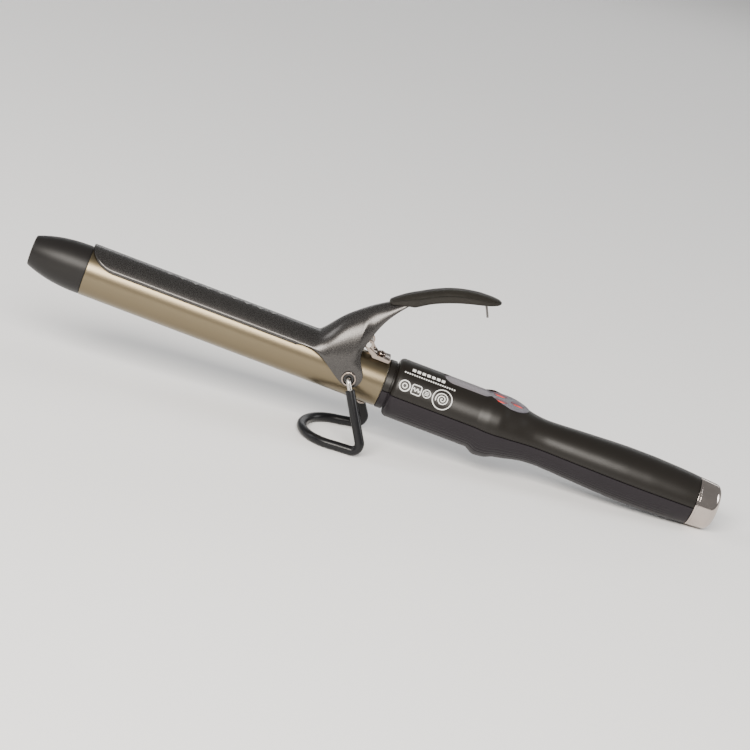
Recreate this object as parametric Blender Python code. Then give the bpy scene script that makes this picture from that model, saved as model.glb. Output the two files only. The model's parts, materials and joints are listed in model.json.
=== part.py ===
"""A clamp curling iron standing on its wire stand, as an assembly of separate pieces.

The iron is modelled in its own frame: X runs along the axis towards the handle's end, the
barrel meets the handle at x = 0, Z is up through the clamp, and -Y is the near side. An empty
then tips the whole iron so that it rests on the stand's foot and on the rim of its end cap.
"""

from math import acos, atan2, ceil, cos, hypot, pi, radians, sin, sqrt

import bpy
from mathutils import Vector

MM = 0.001
GAP = 0.3 * MM

# Barrel and tip
BARREL_RADIUS = 13.0 * MM
BARREL_WALL = 1.0 * MM
BARREL_LENGTH = 164.8 * MM
TIP_LENGTH = 30.2 * MM
TIP_FRONT_RADIUS = 7.9 * MM
TIP_SPIGOT = 9.0 * MM

# Heater inside the barrel
HEATER_INSET = 14.8 * MM
HEATER_BACK = -28.0 * MM
HEATER_WIDTH = 9.0 * MM
HEATER_THICKNESS = 1.4 * MM
SPREADER_WALL = 1.6 * MM
LEAD_RADIUS = 0.9 * MM
LEAD_APART = 1.6 * MM
LEAD_SPREAD = 3.6 * MM
SENSOR_RADIUS = 0.9 * MM
SENSOR_LENGTH = 5.5 * MM

# Socket that carries the barrel in the handle
SOCKET_INSERT = 10.5 * MM
SOCKET_NECK = 9.0 * MM
SOCKET_FLANGE = 3.0 * MM
SOCKET_BORE = 6.5 * MM

# Hinge shared by the clamp and the stand
PIVOT_X = -18.0 * MM
RIVET_RADIUS = 3.1 * MM
RIVET_WALL = 0.5 * MM
RIVET_FLANGE_RADIUS = 4.0 * MM
RIVET_FLANGE = 0.8 * MM
RIVET_DEPTH = 2.6 * MM

# Clamp, a stamped sheet
SHEET = 1.1 * MM
BLADE_CLEARANCE = 0.7 * MM
BLADE_OVERRUN = 0.5 * MM
BLADE_ROUNDING = 14.0 * MM
BLADE_HALF_ANGLE = radians(57)
CHEEK_RADIUS = 6.75 * MM
CHEEK_CENTRE_Z = 2.0 * MM
TONGUE_HALF_WIDTH = 4.0 * MM
PAD_HALF_WIDTH = 7.0 * MM
STOP_PIN_RADIUS = 0.6 * MM
STOP_PIN_TOP = (34.8 * MM, 59.7 * MM)
STOP_PIN_FOOT = (38.2 * MM, 53.4 * MM)

# Spring bracket on the barrel
BRACKET_SHEET = 1.0 * MM
BRACKET_HALF_WIDTH = 5.4 * MM
BRACKET_BACK = -0.8 * MM
BRACKET_BEND_X = -9.5 * MM
BRACKET_FRONT_LIP = 1.6 * MM
SPRING_PIN_X = -14.3 * MM
SPRING_PIN_HEIGHT = 5.5 * MM
SPRING_PIN_RADIUS = 0.9 * MM
PIN_HEAD_RADIUS = 1.7 * MM
PIN_HEAD = 0.7 * MM
KNUCKLE_RADIUS = 3.0 * MM
EAR = 1.2 * MM
COIL_RADIUS = 2.0 * MM
COIL_WIRE = 0.4 * MM
COIL_TURNS = 4
COIL_PITCH_GAP = 0.12 * MM
SPRING_LEG = 4.4 * MM
BRACKET_SCREW_X = -6.0 * MM
BOTTOM_SCREW_X = -7.0 * MM
SCREW_RADIUS = 1.2 * MM
SCREW_HEAD_RADIUS = 2.5 * MM
SCREW_HEAD = 1.6 * MM
SCREW_GRIP = 4.0 * MM

# Stand, a bent wire in a rubber sleeve
WIRE_RADIUS = 1.25 * MM
SLEEVE_RADIUS = 2.65 * MM
SLEEVE_START = 12.5 * MM
WIRE_END_REACH = 0.6 * MM
LEG_CLEARANCE = 0.45 * MM
ELBOW_RADIUS = 2.2 * MM
FOOT_BEND_X = 2.2 * MM
FOOT_BEND_Z = -33.0 * MM
FOOT_HALF_WIDTH = 24.0 * MM
FOOT_BEND_RADIUS = 4.0 * MM
FOOT_STRAIGHT = 15.0 * MM
FOOT_ARCH = 18.8 * MM
FOOT_TAPER = 3.0 * MM

# Handle
NECK_STEP = 0.2 * MM
HANDLE_STEP = 2.9 * MM
HANDLE_END = 176.0 * MM
NECK_LENGTH = 4.0 * MM
NECK_GROOVE = 0.8 * MM
SHELL_WALL = 2.2 * MM
NECK_WALL = 2.8 * MM
SPIGOT_LENGTH = 5.5 * MM
SPIGOT_WALL = 2.0 * MM
SHELL_ROOF_DEPTH = 4.3 * MM
SHELL_SCREWS_X = (96.0 * MM, 150.0 * MM)
BOSS_RADIUS = 3.1 * MM

# Control panel and buttons
PANEL_FRONT = 29.0 * MM
PANEL_NECK = 53.0 * MM
PANEL_BACK = 77.5 * MM
PANEL_STRIP_HALF_WIDTH = 5.8 * MM
PANEL_OVAL_HALF_WIDTH = 8.6 * MM
PANEL_DROP = 1.05 * MM
PANEL_THICKNESS = 1.2 * MM
PANEL_FALL_START = 65.0 * MM
PANEL_FALL = 0.95 * MM
BUTTON_LENGTH = 8.0 * MM
BUTTON_WIDTH = 5.0 * MM
BUTTON_RECESS = 0.9 * MM
BUTTON_TRAVEL = 0.6 * MM
BUTTON_FLANGE = 0.8 * MM
BUTTON_FLANGE_HEIGHT = 0.9 * MM
BUTTON_STEM = 1.4 * MM
BUTTON_PAIR_X = 61.0 * MM
BUTTON_PAIR_Y = 4.6 * MM
BUTTON_POWER_X = 70.5 * MM

# Circuit board
BOARD_FRONT = 26.0 * MM
BOARD_BACK = 78.0 * MM
BOARD_HALF_WIDTH = 9.0 * MM
BOARD_TOP_Z = 4.3 * MM
BOARD_THICKNESS = 1.6 * MM
BOARD_SCREWS_X = (31.0 * MM, 49.0 * MM)
SWITCH_SIZE = 6.0 * MM
SWITCH_HEIGHT = 3.4 * MM
PLUNGER_RADIUS = 1.5 * MM

# End cap and the swivel inside it
CAP_LENGTH = 12.9 * MM
CAP_FRONT_RADIUS = 13.2 * MM
CAP_BACK_RADIUS = 12.7 * MM
CAP_ROUNDING = 4.0 * MM
CAP_WALL = 1.6 * MM
SWIVEL_RADIUS = 7.0 * MM
SWIVEL_BARREL_RADIUS = 4.4 * MM
SWIVEL_FLANGE = 2.0 * MM
SWIVEL_FLANGE_STEP = 1.6 * MM
RETAINER = 1.2 * MM
SWIVEL_REACH = 16.0 * MM
CORD_BORE = 3.5 * MM
SLIP_RING_PLACES = (3.5 * MM, 8.5 * MM)
SLIP_RING_WIDTH = 2.4 * MM
SLIP_RING_RADIUS = 5.8 * MM

# The side view that the handle's outline is drawn at, before it is scaled to the sizes above
DRAWN_END = 174.8 * MM
DRAWN_RADIUS = 16.1 * MM
DRAWN_REAR_RADIUS = 13.2 * MM
DRAWN_WAIST = 80

ROUND_SIDES = 32
SMALL_SIDES = 16

# Sizes that follow from the ones above
BARREL_BORE = BARREL_RADIUS - BARREL_WALL
BLADE_INNER = BARREL_RADIUS + BLADE_CLEARANCE
BLADE_OUTER = BLADE_INNER + SHEET
BLADE_FRONT = -BARREL_LENGTH - BLADE_OVERRUN
LEVER_LIFT = BLADE_OUTER - 14.8 * MM
HEATER_FRONT = HEATER_INSET - BARREL_LENGTH
RIVET_INNER_END = BARREL_RADIUS - RIVET_DEPTH
SPRING_PIN_Z = BARREL_RADIUS + SPRING_PIN_HEIGHT
WIRE_END_Y = RIVET_INNER_END - WIRE_END_REACH
LEG_TOP_Y = BLADE_OUTER + SLEEVE_RADIUS + LEG_CLEARANCE
NECK_RADIUS = BARREL_RADIUS + NECK_STEP
HANDLE_RADIUS = NECK_RADIUS + HANDLE_STEP
NECK_BORE = NECK_RADIUS - NECK_WALL
SHELL_ROOF_Z = HANDLE_RADIUS - SHELL_ROOF_DEPTH
PANEL_TOP_Z = HANDLE_RADIUS - PANEL_DROP
CAP_BACK = HANDLE_END + GAP + CAP_LENGTH
SWIVEL_FRONT = HANDLE_END - SWIVEL_REACH
SLIP_RINGS_X = tuple(SWIVEL_FRONT + place for place in SLIP_RING_PLACES)
SPIGOT_RADIUS = CAP_FRONT_RADIUS - CAP_WALL - GAP


def stand_tilt():
    """The angle that puts the foot and the end cap's rim on one flat surface."""
    run = CAP_BACK - CAP_ROUNDING - FOOT_BEND_X
    drop = -(CAP_BACK_RADIUS - CAP_ROUNDING) - FOOT_BEND_Z
    lift = CAP_ROUNDING - SLEEVE_RADIUS
    return acos(lift / hypot(run, drop)) - atan2(run, drop)


TILT = stand_tilt()


# --- scene helpers

def clear_scene():
    for item in list(bpy.data.objects):
        bpy.data.objects.remove(item, do_unlink=True)


def paint(name, colour, roughness, metallic=0.0):
    material = bpy.data.materials.new(name)
    material.use_nodes = True
    shader = material.node_tree.nodes["Principled BSDF"]
    shader.inputs["Base Color"].default_value = (*colour, 1.0)
    shader.inputs["Roughness"].default_value = roughness
    shader.inputs["Metallic"].default_value = metallic
    material.diffuse_color = (*colour, 1.0)
    return material


def loft(name, rings, material=None, origin=(0, 0, 0), closed=False):
    """Skin rings of equally many points; a closed loft joins its last ring to its first."""
    count = len(rings[0])
    corner = Vector(origin)
    points = [Vector(point) - corner for ring in rings for point in ring]
    spans = len(rings) if closed else len(rings) - 1
    faces = []
    for ring in range(spans):
        here = ring * count
        there = (ring + 1) % len(rings) * count
        for side in range(count):
            after = (side + 1) % count
            faces.append((here + side, here + after, there + after, there + side))
    if not closed:
        faces.append(tuple(reversed(range(count))))
        faces.append(tuple(range(len(points) - count, len(points))))
    mesh = bpy.data.meshes.new(name)
    mesh.from_pydata(points, [], faces)
    face_outward(mesh)
    mesh.shade_smooth()
    mesh.set_sharp_from_angle(angle=radians(35))
    item = bpy.data.objects.new(name, mesh)
    item.location = corner
    item.parent = IRON
    bpy.context.collection.objects.link(item)
    if material:
        mesh.materials.append(material)
    return item


def face_outward(mesh):
    """Turn every face over if the closed mesh would enclose a negative volume."""
    mesh.calc_loop_triangles()
    volume = 0.0
    for triangle in mesh.loop_triangles:
        a, b, c = (mesh.vertices[index].co for index in triangle.vertices)
        volume += a.cross(b).dot(c)
    if volume < 0:
        mesh.flip_normals()


def boolean(target, tool, operation):
    tool.hide_render = True
    tool.display_type = "WIRE"
    modifier = target.modifiers.new(tool.name, "BOOLEAN")
    modifier.operation = operation
    modifier.object = tool


def cut(target, tool):
    boolean(target, tool, "DIFFERENCE")


def join(target, tool):
    boolean(target, tool, "UNION")


# --- shape helpers

def ring_x(x, radius, sides=ROUND_SIDES):
    """A circle of the given radius about the iron's axis."""
    return [(x, radius * cos(2 * pi * i / sides), radius * sin(2 * pi * i / sides)) for i in range(sides)]


def turned(name, profile, material=None, sides=ROUND_SIDES, closed=True, origin=(0, 0, 0)):
    """A piece turned about the iron's axis from (x, radius) points; closed means it has a bore."""
    return loft(name, [ring_x(x, radius, sides) for x, radius in profile], material, origin, closed)


def upright(name, centre, profile, material=None, sides=SMALL_SIDES, closed=False, origin=(0, 0, 0)):
    """A piece turned about a line along Z through (x, y), from (z, radius) points."""
    angles = [2 * pi * i / sides for i in range(sides)]
    rings = []
    for z, radius in profile:
        rings.append([(centre[0] + radius * cos(a), centre[1] + radius * sin(a), z) for a in angles])
    return loft(name, rings, material, origin, closed)


def crosswise(name, x, z, profile, material=None, sides=SMALL_SIDES, closed=False, origin=(0, 0, 0)):
    """A piece turned about a line along Y through (x, z), from (y, radius) points."""
    angles = [2 * pi * i / sides for i in range(sides)]
    rings = [[(x + radius * cos(a), y, z + radius * sin(a)) for a in angles] for y, radius in profile]
    return loft(name, rings, material, origin, closed)


def plate(name, outline, y_from, y_to, material=None, origin=(0, 0, 0)):
    """A flat plate across Y from an (x, z) outline."""
    rings = [[(x, y, z) for x, z in outline] for y in (y_from, y_to)]
    return loft(name, rings, material, origin)


def block(name, low, high, material=None, origin=(0, 0, 0)):
    (x0, y0, z0), (x1, y1, z1) = low, high
    rings = [[(x0, y0, z), (x1, y0, z), (x1, y1, z), (x0, y1, z)] for z in (z0, z1)]
    return loft(name, rings, material, origin)


def oval_stack(name, centre, profile, material=None, sides=24, origin=(0, 0, 0)):
    """Ovals stacked along Z from (z, half length, half width) levels."""
    angles = [2 * pi * i / sides for i in range(sides)]
    rings = []
    for z, along, across in profile:
        rings.append([(centre[0] + along * cos(a), centre[1] + across * sin(a), z) for a in angles])
    return loft(name, rings, material, origin)


def smooth_step(value, start, end):
    share = min(max((value - start) / (end - start), 0.0), 1.0)
    return share * share * (3 - 2 * share)


def curve_through(points, value):
    """The height at a place along (place, height) points, as a smooth monotone curve."""
    last = len(points) - 2
    index = max(i for i in range(last + 1) if i == 0 or points[i][0] <= value)
    slopes = []
    for i in range(len(points)):
        before = (points[i][1] - points[i - 1][1]) / (points[i][0] - points[i - 1][0]) if i else 0.0
        after = before
        if i <= last:
            after = (points[i + 1][1] - points[i][1]) / (points[i + 1][0] - points[i][0])
        slopes.append(2 * before * after / (before + after) if before * after > 0 else 0.0)
    (x0, y0), (x1, y1) = points[index], points[index + 1]
    span = x1 - x0
    t = (value - x0) / span
    rise = y0 * (1 + 2 * t) * (1 - t) ** 2 + y1 * t * t * (3 - 2 * t)
    return rise + span * (slopes[index] * t * (1 - t) ** 2 - slopes[index + 1] * t * t * (1 - t))


def bent_path(corners, step=radians(18)):
    """A path of straight runs with arcs at its corners, from (point, bend radius) pairs."""
    path = [Vector(corners[0][0])]
    for i in range(1, len(corners) - 1):
        corner = Vector(corners[i][0])
        back = (Vector(corners[i - 1][0]) - corner).normalized()
        ahead = (Vector(corners[i + 1][0]) - corner).normalized()
        half = back.angle(ahead) / 2
        if corners[i][1] == 0 or half > radians(88):
            path.append(corner)
            continue
        centre = corner + (back + ahead).normalized() * corners[i][1] / sin(half)
        start = corner + back * corners[i][1] / (sin(half) / cos(half))
        axis = back.cross(ahead).normalized()
        turn = pi - 2 * half
        steps = max(2, ceil(turn / step))
        arm = start - centre
        for k in range(steps + 1):
            path.append(centre + turned_about(arm, axis, -turn * k / steps))
    path.append(Vector(corners[-1][0]))
    return path


def turned_about(arm, axis, angle):
    return arm * cos(angle) + axis.cross(arm) * sin(angle) + axis * axis.dot(arm) * (1 - cos(angle))


def sweep_rings(path, radius, sides):
    """Rings square to a path, carried along it without twisting."""
    rings = []
    side = None
    for i, point in enumerate(path):
        ahead = path[min(i + 1, len(path) - 1)] - point
        back = point - path[max(i - 1, 0)]
        along = (ahead.normalized() + back.normalized()).normalized()
        if side is None:
            side = along.cross(Vector((0.0, 0.0, 1.0)) if abs(along.z) < 0.9 else Vector((1.0, 0.0, 0.0)))
        side = (side - along * side.dot(along)).normalized()
        up = along.cross(side)
        angles = [2 * pi * k / sides for k in range(sides)]
        rings.append([point + radius * (side * cos(a) + up * sin(a)) for a in angles])
    return rings


# --- barrel and heater

def tip_radius(share):
    """The tip's outer radius, from its front (0) to the barrel (1): a long, slowly rounding cone."""
    return TIP_FRONT_RADIUS + (BARREL_RADIUS - TIP_FRONT_RADIUS) * (1 - (1 - share) ** 2.4)


def make_tip():
    front = -BARREL_LENGTH - TIP_LENGTH
    back = -BARREL_LENGTH - GAP
    profile = [(front, TIP_FRONT_RADIUS - 0.6 * MM)]
    steps = 9
    for i in range(steps + 1):
        x = front + 0.5 * MM + (back - front - 0.5 * MM) * i / steps
        profile.append((x, tip_radius((x - front) / (back - front))))
    spigot_radius = BARREL_BORE - GAP
    profile.append((back, spigot_radius))
    profile.append((back + TIP_SPIGOT, spigot_radius))
    profile.append((back + TIP_SPIGOT, spigot_radius - 2.5 * MM))
    profile.append((front + 4.0 * MM, TIP_FRONT_RADIUS - 3.0 * MM))
    turned("cool_tip", profile, BLACK_PLASTIC, closed=False)


def make_barrel():
    profile = [
        (-BARREL_LENGTH, BARREL_RADIUS), (0.0, BARREL_RADIUS), (0.0, BARREL_BORE), (-BARREL_LENGTH, BARREL_BORE),
    ]
    barrel = turned("barrel_tube", profile, CHAMPAGNE_METAL)
    hole_radius = RIVET_RADIUS + GAP
    reach = BARREL_RADIUS + 5 * MM
    cut(barrel, crosswise("barrel_pivot_hole", PIVOT_X, 0.0, [(-reach, hole_radius), (reach, hole_radius)]))
    top = [(0.0, SCREW_RADIUS + GAP), (reach, SCREW_RADIUS + GAP)]
    cut(barrel, upright("barrel_top_hole", (BRACKET_SCREW_X, 0.0), top))
    bottom = [(-reach, SCREW_RADIUS + GAP), (0.0, SCREW_RADIUS + GAP)]
    cut(barrel, upright("barrel_bottom_hole", (BOTTOM_SCREW_X, 0.0), bottom))


def half_round(radius, floor_z, steps=14):
    """The outline of a half round bar whose flat side lies at floor_z, as (y, z) points."""
    start = atan2(floor_z, sqrt(radius ** 2 - floor_z ** 2))
    angles = [start + (pi - 2 * start) * i / steps for i in range(steps + 1)]
    return [(radius * cos(a), radius * sin(a)) for a in angles]


def make_spreader(name, side):
    """A hollow half round bar that presses the heater plate and fills the barrel's bore."""
    outer_radius = BARREL_BORE - GAP
    floor_z = HEATER_THICKNESS / 2 + GAP
    outer = half_round(outer_radius, floor_z)
    inner = half_round(outer_radius - SPREADER_WALL, floor_z + SPREADER_WALL)
    rings = []
    for x, outline in ((HEATER_FRONT, outer), (HEATER_BACK, outer), (HEATER_BACK, inner), (HEATER_FRONT, inner)):
        rings.append([(x, y, side * z) for y, z in outline])
    loft(name, rings, ALUMINIUM, closed=True)


def make_heater():
    half = HEATER_WIDTH / 2
    thickness = HEATER_THICKNESS / 2
    inset = 2 * MM
    low = (HEATER_FRONT + inset, -half, -thickness)
    block("heater_plate", low, (HEATER_BACK - inset, half, thickness), CERAMIC)
    make_spreader("heat_spreader_upper", 1)
    make_spreader("heat_spreader_lower", -1)
    sensor_y = half + SENSOR_RADIUS + 0.7 * MM
    sensor = [(HEATER_BACK + MM, SENSOR_RADIUS), (HEATER_BACK + MM + SENSOR_LENGTH, SENSOR_RADIUS)]
    for name, y in (("thermistor", sensor_y), ("thermal_fuse", -sensor_y)):
        rings = [[(x, y + r * cos(a), r * sin(a)) for a in (i * pi / 5 for i in range(10))] for x, r in sensor]
        loft(name, rings, GLASS if name == "thermistor" else STEEL)


def make_leads():
    """Two wires from the heater plate through the socket's bore to the circuit board."""
    start = Vector((HEATER_BACK + GAP, 0.0, 0.0))
    end = Vector((BOARD_FRONT + 4 * MM, 0.0, BOARD_TOP_Z - BOARD_THICKNESS - GAP - LEAD_RADIUS))
    for name, side in (("heater_lead_left", -1), ("heater_lead_right", 1)):
        path = []
        steps = 14
        for i in range(steps + 1):
            share = i / steps
            point = start.lerp(end, share)
            point.z = end.z * smooth_step(share, 0.3, 0.9)
            point.y = side * (LEAD_APART + LEAD_SPREAD * smooth_step(share, 0.2, 0.9))
            path.append(point)
        loft(name, sweep_rings(path, LEAD_RADIUS, 8), RED_WIRE)


def make_socket():
    """The heat resisting plug that carries the barrel in the handle's neck."""
    inside = BARREL_BORE - GAP
    neck = NECK_BORE - GAP
    flange = SHELL_ROOF_Z - GAP
    end = SOCKET_NECK + SOCKET_FLANGE
    profile = [
        (-SOCKET_INSERT, inside), (0.0, inside), (0.0, neck), (SOCKET_NECK, neck), (SOCKET_NECK, flange),
        (end, flange), (end, SOCKET_BORE), (-SOCKET_INSERT, SOCKET_BORE),
    ]
    socket = turned("barrel_socket", profile, CERAMIC)
    hole = SCREW_RADIUS + GAP
    reach = BARREL_RADIUS
    cut(socket, upright("socket_top_hole", (BRACKET_SCREW_X, 0.0), [(0.0, hole), (reach, hole)]))
    cut(socket, upright("socket_bottom_hole", (BOTTOM_SCREW_X, 0.0), [(-reach, hole), (0.0, hole)]))


# --- hinge, clamp and spring

def make_rivets():
    """Hollow rivets, each with a bush for the stand's wire."""
    bore = RIVET_RADIUS - RIVET_WALL
    flange_at = BLADE_OUTER + GAP
    bush_radius = bore - GAP
    bush_bore = WIRE_RADIUS + GAP
    for side, word in ((-1, "left"), (1, "right")):
        profile = [
            (RIVET_INNER_END, RIVET_RADIUS), (flange_at, RIVET_RADIUS), (flange_at, RIVET_FLANGE_RADIUS),
            (flange_at + 0.5 * RIVET_FLANGE, RIVET_FLANGE_RADIUS), (flange_at + RIVET_FLANGE, bore + 0.5 * MM),
            (flange_at + RIVET_FLANGE, bore), (RIVET_INNER_END, bore),
        ]
        profile = [(side * y, radius) for y, radius in profile]
        crosswise("pivot_rivet_" + word, PIVOT_X, 0.0, profile, CHROME, 24, closed=True)
        bush = [
            (RIVET_INNER_END, bush_radius), (flange_at + 0.4 * RIVET_FLANGE, bush_radius),
            (flange_at + 0.4 * RIVET_FLANGE, bush_bore), (RIVET_INNER_END, bush_bore),
        ]
        bush = [(side * y, radius) for y, radius in bush]
        crosswise("stand_bush_" + word, PIVOT_X, 0.0, bush, BLACK_PLASTIC, closed=True)


def blade_stations():
    """Cross sections of the blade: top, edge, half width and the angle that its arc spans."""
    stations = []
    for share in (0.0, 0.06, 0.2, 0.42, 0.7, 1.0):
        x = BLADE_FRONT + BLADE_ROUNDING * share
        spread = BLADE_HALF_ANGLE * max(0.16, sqrt(1 - (1 - share) ** 2))
        stations.append((x, BLADE_OUTER, x, BLADE_OUTER * cos(spread), BLADE_OUTER * sin(spread), spread))
    x = -50.0 * MM
    edge = BLADE_HALF_ANGLE
    stations.append((x, BLADE_OUTER, x, BLADE_OUTER * cos(edge), BLADE_OUTER * sin(edge), edge))
    return stations


def lever_stations():
    """Cross sections of the lever, which rises from the blade as an arched channel."""
    right = radians(90)
    full = BLADE_OUTER
    rows = [
        (-41.0, 14.9, -42.0, 8.0, full / MM - 1.4, 63), (-37.0, 19.6, -37.5, 7.2, full / MM - 0.4, 76),
        (-31.5, 26.7, -32.2, 4.0, full / MM, 90), (-26.0, 32.0, -26.0, 1.6, full / MM, 90),
        (-22.8, 34.8, -20.5, 4.0, full / MM - 0.3, 90), (-20.6, 36.5, -18.4, 10.0, full / MM - 1.6, 90),
        (-18.4, 38.1, -17.2, 15.0, full / MM - 3.2, 90), (-15.6, 40.2, -14.0, 24.0, 9.3, 90),
        (-12.6, 42.3, -12.4, 31.0, 8.2, 90), (-8.0, 45.2, -8.2, 38.6, 7.2, 90), (-2.0, 48.8, -2.2, 45.6, 5.6, 90),
    ]
    stations = []
    for top_x, top_z, edge_x, edge_z, half_width, degrees in rows:
        spread = min(radians(degrees), right)
        top = top_z * MM + LEVER_LIFT
        stations.append((top_x * MM, top, edge_x * MM, edge_z * MM, half_width * MM, spread))
    return stations


def arch_ring(station, steps=14):
    """One closed cross section of the sheet: over its outer face and back along its inner face."""
    top_x, top_z, edge_x, edge_z, half_width, spread = station
    height = hypot(top_x - edge_x, top_z - edge_z)
    ring = []
    for inset in (0.0, SHEET):
        row = []
        for i in range(steps + 1):
            angle = spread * (2 * i / steps - 1)
            rise = (cos(angle) - cos(spread)) / (1 - cos(spread)) * (height - inset) / height
            y = (half_width - inset) * sin(angle) / sin(spread)
            row.append((edge_x + (top_x - edge_x) * rise, y, edge_z + (top_z - edge_z) * rise))
        ring += row if inset == 0.0 else list(reversed(row))
    return ring


def tongue_outline(clearance=0.0):
    """The strip at the lever's end that the thumb pad grips, as an (x, z) outline."""
    front = Vector((-3.0 * MM, 46.9 * MM + LEVER_LIFT))
    middle = Vector((16.0 * MM, 56.4 * MM + LEVER_LIFT))
    back = Vector((31.0 * MM, 60.2 * MM + LEVER_LIFT))
    thick = Vector((0.0, SHEET / 2 + clearance))
    end = Vector((clearance, 0.0))
    return [front - thick, middle - thick, back - thick + end, back + thick + end, middle + thick, front + thick]


def cheek_outline():
    """A cheek's side view: round about the hinge, with a hollow edge up to the lever's root."""
    outline = []
    for i in range(12):
        angle = radians(215 + 15 * i)
        x = PIVOT_X + 0.3 * MM + CHEEK_RADIUS * cos(angle)
        outline.append((x, CHEEK_CENTRE_Z + CHEEK_RADIUS * sin(angle)))
    outline += [(-12.2 * MM, 6.0 * MM), (-14.4 * MM, 8.6 * MM), (-18.6 * MM, 11.0 * MM), (-31.4 * MM, 4.4 * MM),
                (-30.6 * MM, 2.8 * MM), (-27.0 * MM, 0.0)]
    return outline


def make_clamp():
    rings = [arch_ring(station) for station in blade_stations() + lever_stations()]
    hinge = (PIVOT_X, 0.0, 0.0)
    clamp = loft("clamp", rings, GRAPHITE_METAL, hinge)
    for side, word in ((-1, "left"), (1, "right")):
        sides = sorted((side * (BLADE_OUTER - SHEET), side * BLADE_OUTER))
        join(clamp, plate("cheek_" + word, cheek_outline(), sides[0], sides[1]))
    join(clamp, plate("tongue", tongue_outline(), -TONGUE_HALF_WIDTH, TONGUE_HALF_WIDTH))
    reach = BLADE_OUTER + 3 * MM
    hole = RIVET_RADIUS + GAP
    cut(clamp, crosswise("clamp_pivot_hole", PIVOT_X, 0.0, [(-reach, hole), (reach, hole)], sides=24))


def make_thumb_pad():
    """A long arched pad over the lever's tongue, thin at both ends."""
    upper = [(-12.3, 43.6), (-10.8, 45.0), (-6, 49.2), (0, 53.2), (8, 57.8), (16, 61.3), (24, 63.4), (32, 64.6),
             (37.5, 64.8), (41.0, 64.4), (42.0, 63.7)]
    lower = [(-12.3, 43.3), (-10.8, 43.3), (-6, 45.6), (0, 45.6), (8, 50.6), (16, 54.6), (24, 57.6), (32, 59.6),
             (37.5, 60.9), (41.0, 62.3), (42.0, 63.4)]
    widths = [2.4, 4.2, 5.9, 6.7, 7.0, 7.0, 6.9, 6.5, 5.4, 3.2, 1.4]
    rings = []
    for (x, top), (_, bottom), width in zip(upper, lower, widths):
        half = width / max(widths) * PAD_HALF_WIDTH
        shoulder = bottom + (top - bottom) * 0.62
        ring = [(-half, bottom), (half, bottom), (half, shoulder), (0.72 * half, bottom + (top - bottom) * 0.93)]
        ring += [(0.0, top), (-0.72 * half, bottom + (top - bottom) * 0.93), (-half, shoulder)]
        rings.append([(x * MM, y, z * MM + LEVER_LIFT) for y, z in ring])
    pad = loft("thumb_pad", rings, BLACK_PLASTIC, (PIVOT_X, 0.0, 0.0))
    half_slot = TONGUE_HALF_WIDTH + GAP
    cut(pad, plate("pad_slot", tongue_outline(GAP), -half_slot, half_slot))
    end = lever_stations()[-3:]
    grown = []
    for top_x, top_z, edge_x, edge_z, half_width, spread in end:
        down = Vector((edge_x - top_x, edge_z - top_z)).normalized() * 2 * MM
        low = (edge_x + down.x, edge_z + down.y)
        high = (top_x - 0.25 * down.x, top_z - 0.25 * down.y)
        wide = half_width + 2 * GAP
        corners = [(low, -wide), (low, wide), (high, wide), (high, -wide)]
        grown.append([(place[0], y, place[1]) for place, y in corners])
    stretch = Vector((2.0 * MM, 0.0, 1.2 * MM))
    grown.append([tuple(Vector(point) + stretch) for point in grown[-1]])
    cut(pad, loft("pad_mouth", grown))


def make_stop_pin():
    """The pin under the pad's end, which lands on the handle when the lever is pressed."""
    angles = [2 * pi * i / 10 for i in range(10)]
    rings = []
    for x, z in (STOP_PIN_FOOT, STOP_PIN_TOP):
        rings.append([(x + STOP_PIN_RADIUS * cos(a), STOP_PIN_RADIUS * sin(a), z + LEVER_LIFT) for a in angles])
    loft("stop_pin", rings, DARK_STEEL, (PIVOT_X, 0.0, 0.0))


def make_bracket():
    """A bent plate on the barrel with two ears that carry the spring's pin."""
    floor_z = BARREL_RADIUS + GAP
    top_z = floor_z + BRACKET_SHEET
    half = BRACKET_HALF_WIDTH
    low = (BRACKET_BEND_X - BRACKET_FRONT_LIP, -half, floor_z)
    bracket = block("spring_bracket", low, (BRACKET_BACK, half, top_z), CHROME)
    angles = [radians(-20 + 22 * i) for i in range(11)]
    outline = [(SPRING_PIN_X + KNUCKLE_RADIUS * cos(a), SPRING_PIN_Z + KNUCKLE_RADIUS * sin(a)) for a in angles]
    outline.append((BRACKET_BEND_X - BRACKET_FRONT_LIP, floor_z + 0.1 * MM))
    outline.append((BRACKET_BEND_X + BRACKET_FRONT_LIP - 0.1 * MM, floor_z + 0.1 * MM))
    for side, word in ((-1, "left"), (1, "right")):
        sides = sorted((side * (half + 0.1 * MM), side * (half - EAR)))
        join(bracket, plate("ear_" + word, outline, sides[0], sides[1]))
    reach = 2 * half
    bore = SPRING_PIN_RADIUS + GAP
    pin_hole = [(-reach, bore), (reach, bore)]
    cut(bracket, crosswise("bracket_pin_hole", SPRING_PIN_X, SPRING_PIN_Z, pin_hole))
    hole = SCREW_RADIUS + GAP
    cut(bracket, upright("bracket_screw_hole", (BRACKET_SCREW_X, 0.0), [(0.0, hole), (2 * top_z, hole)]))
    seat = half + 0.1 * MM + GAP
    end = seat + PIN_HEAD
    pin = [
        (-end, PIN_HEAD_RADIUS), (-seat, PIN_HEAD_RADIUS), (-seat, SPRING_PIN_RADIUS),
        (seat, SPRING_PIN_RADIUS), (seat, PIN_HEAD_RADIUS), (end, PIN_HEAD_RADIUS),
    ]
    crosswise("spring_pin", SPRING_PIN_X, SPRING_PIN_Z, pin, STEEL, 12)


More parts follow.
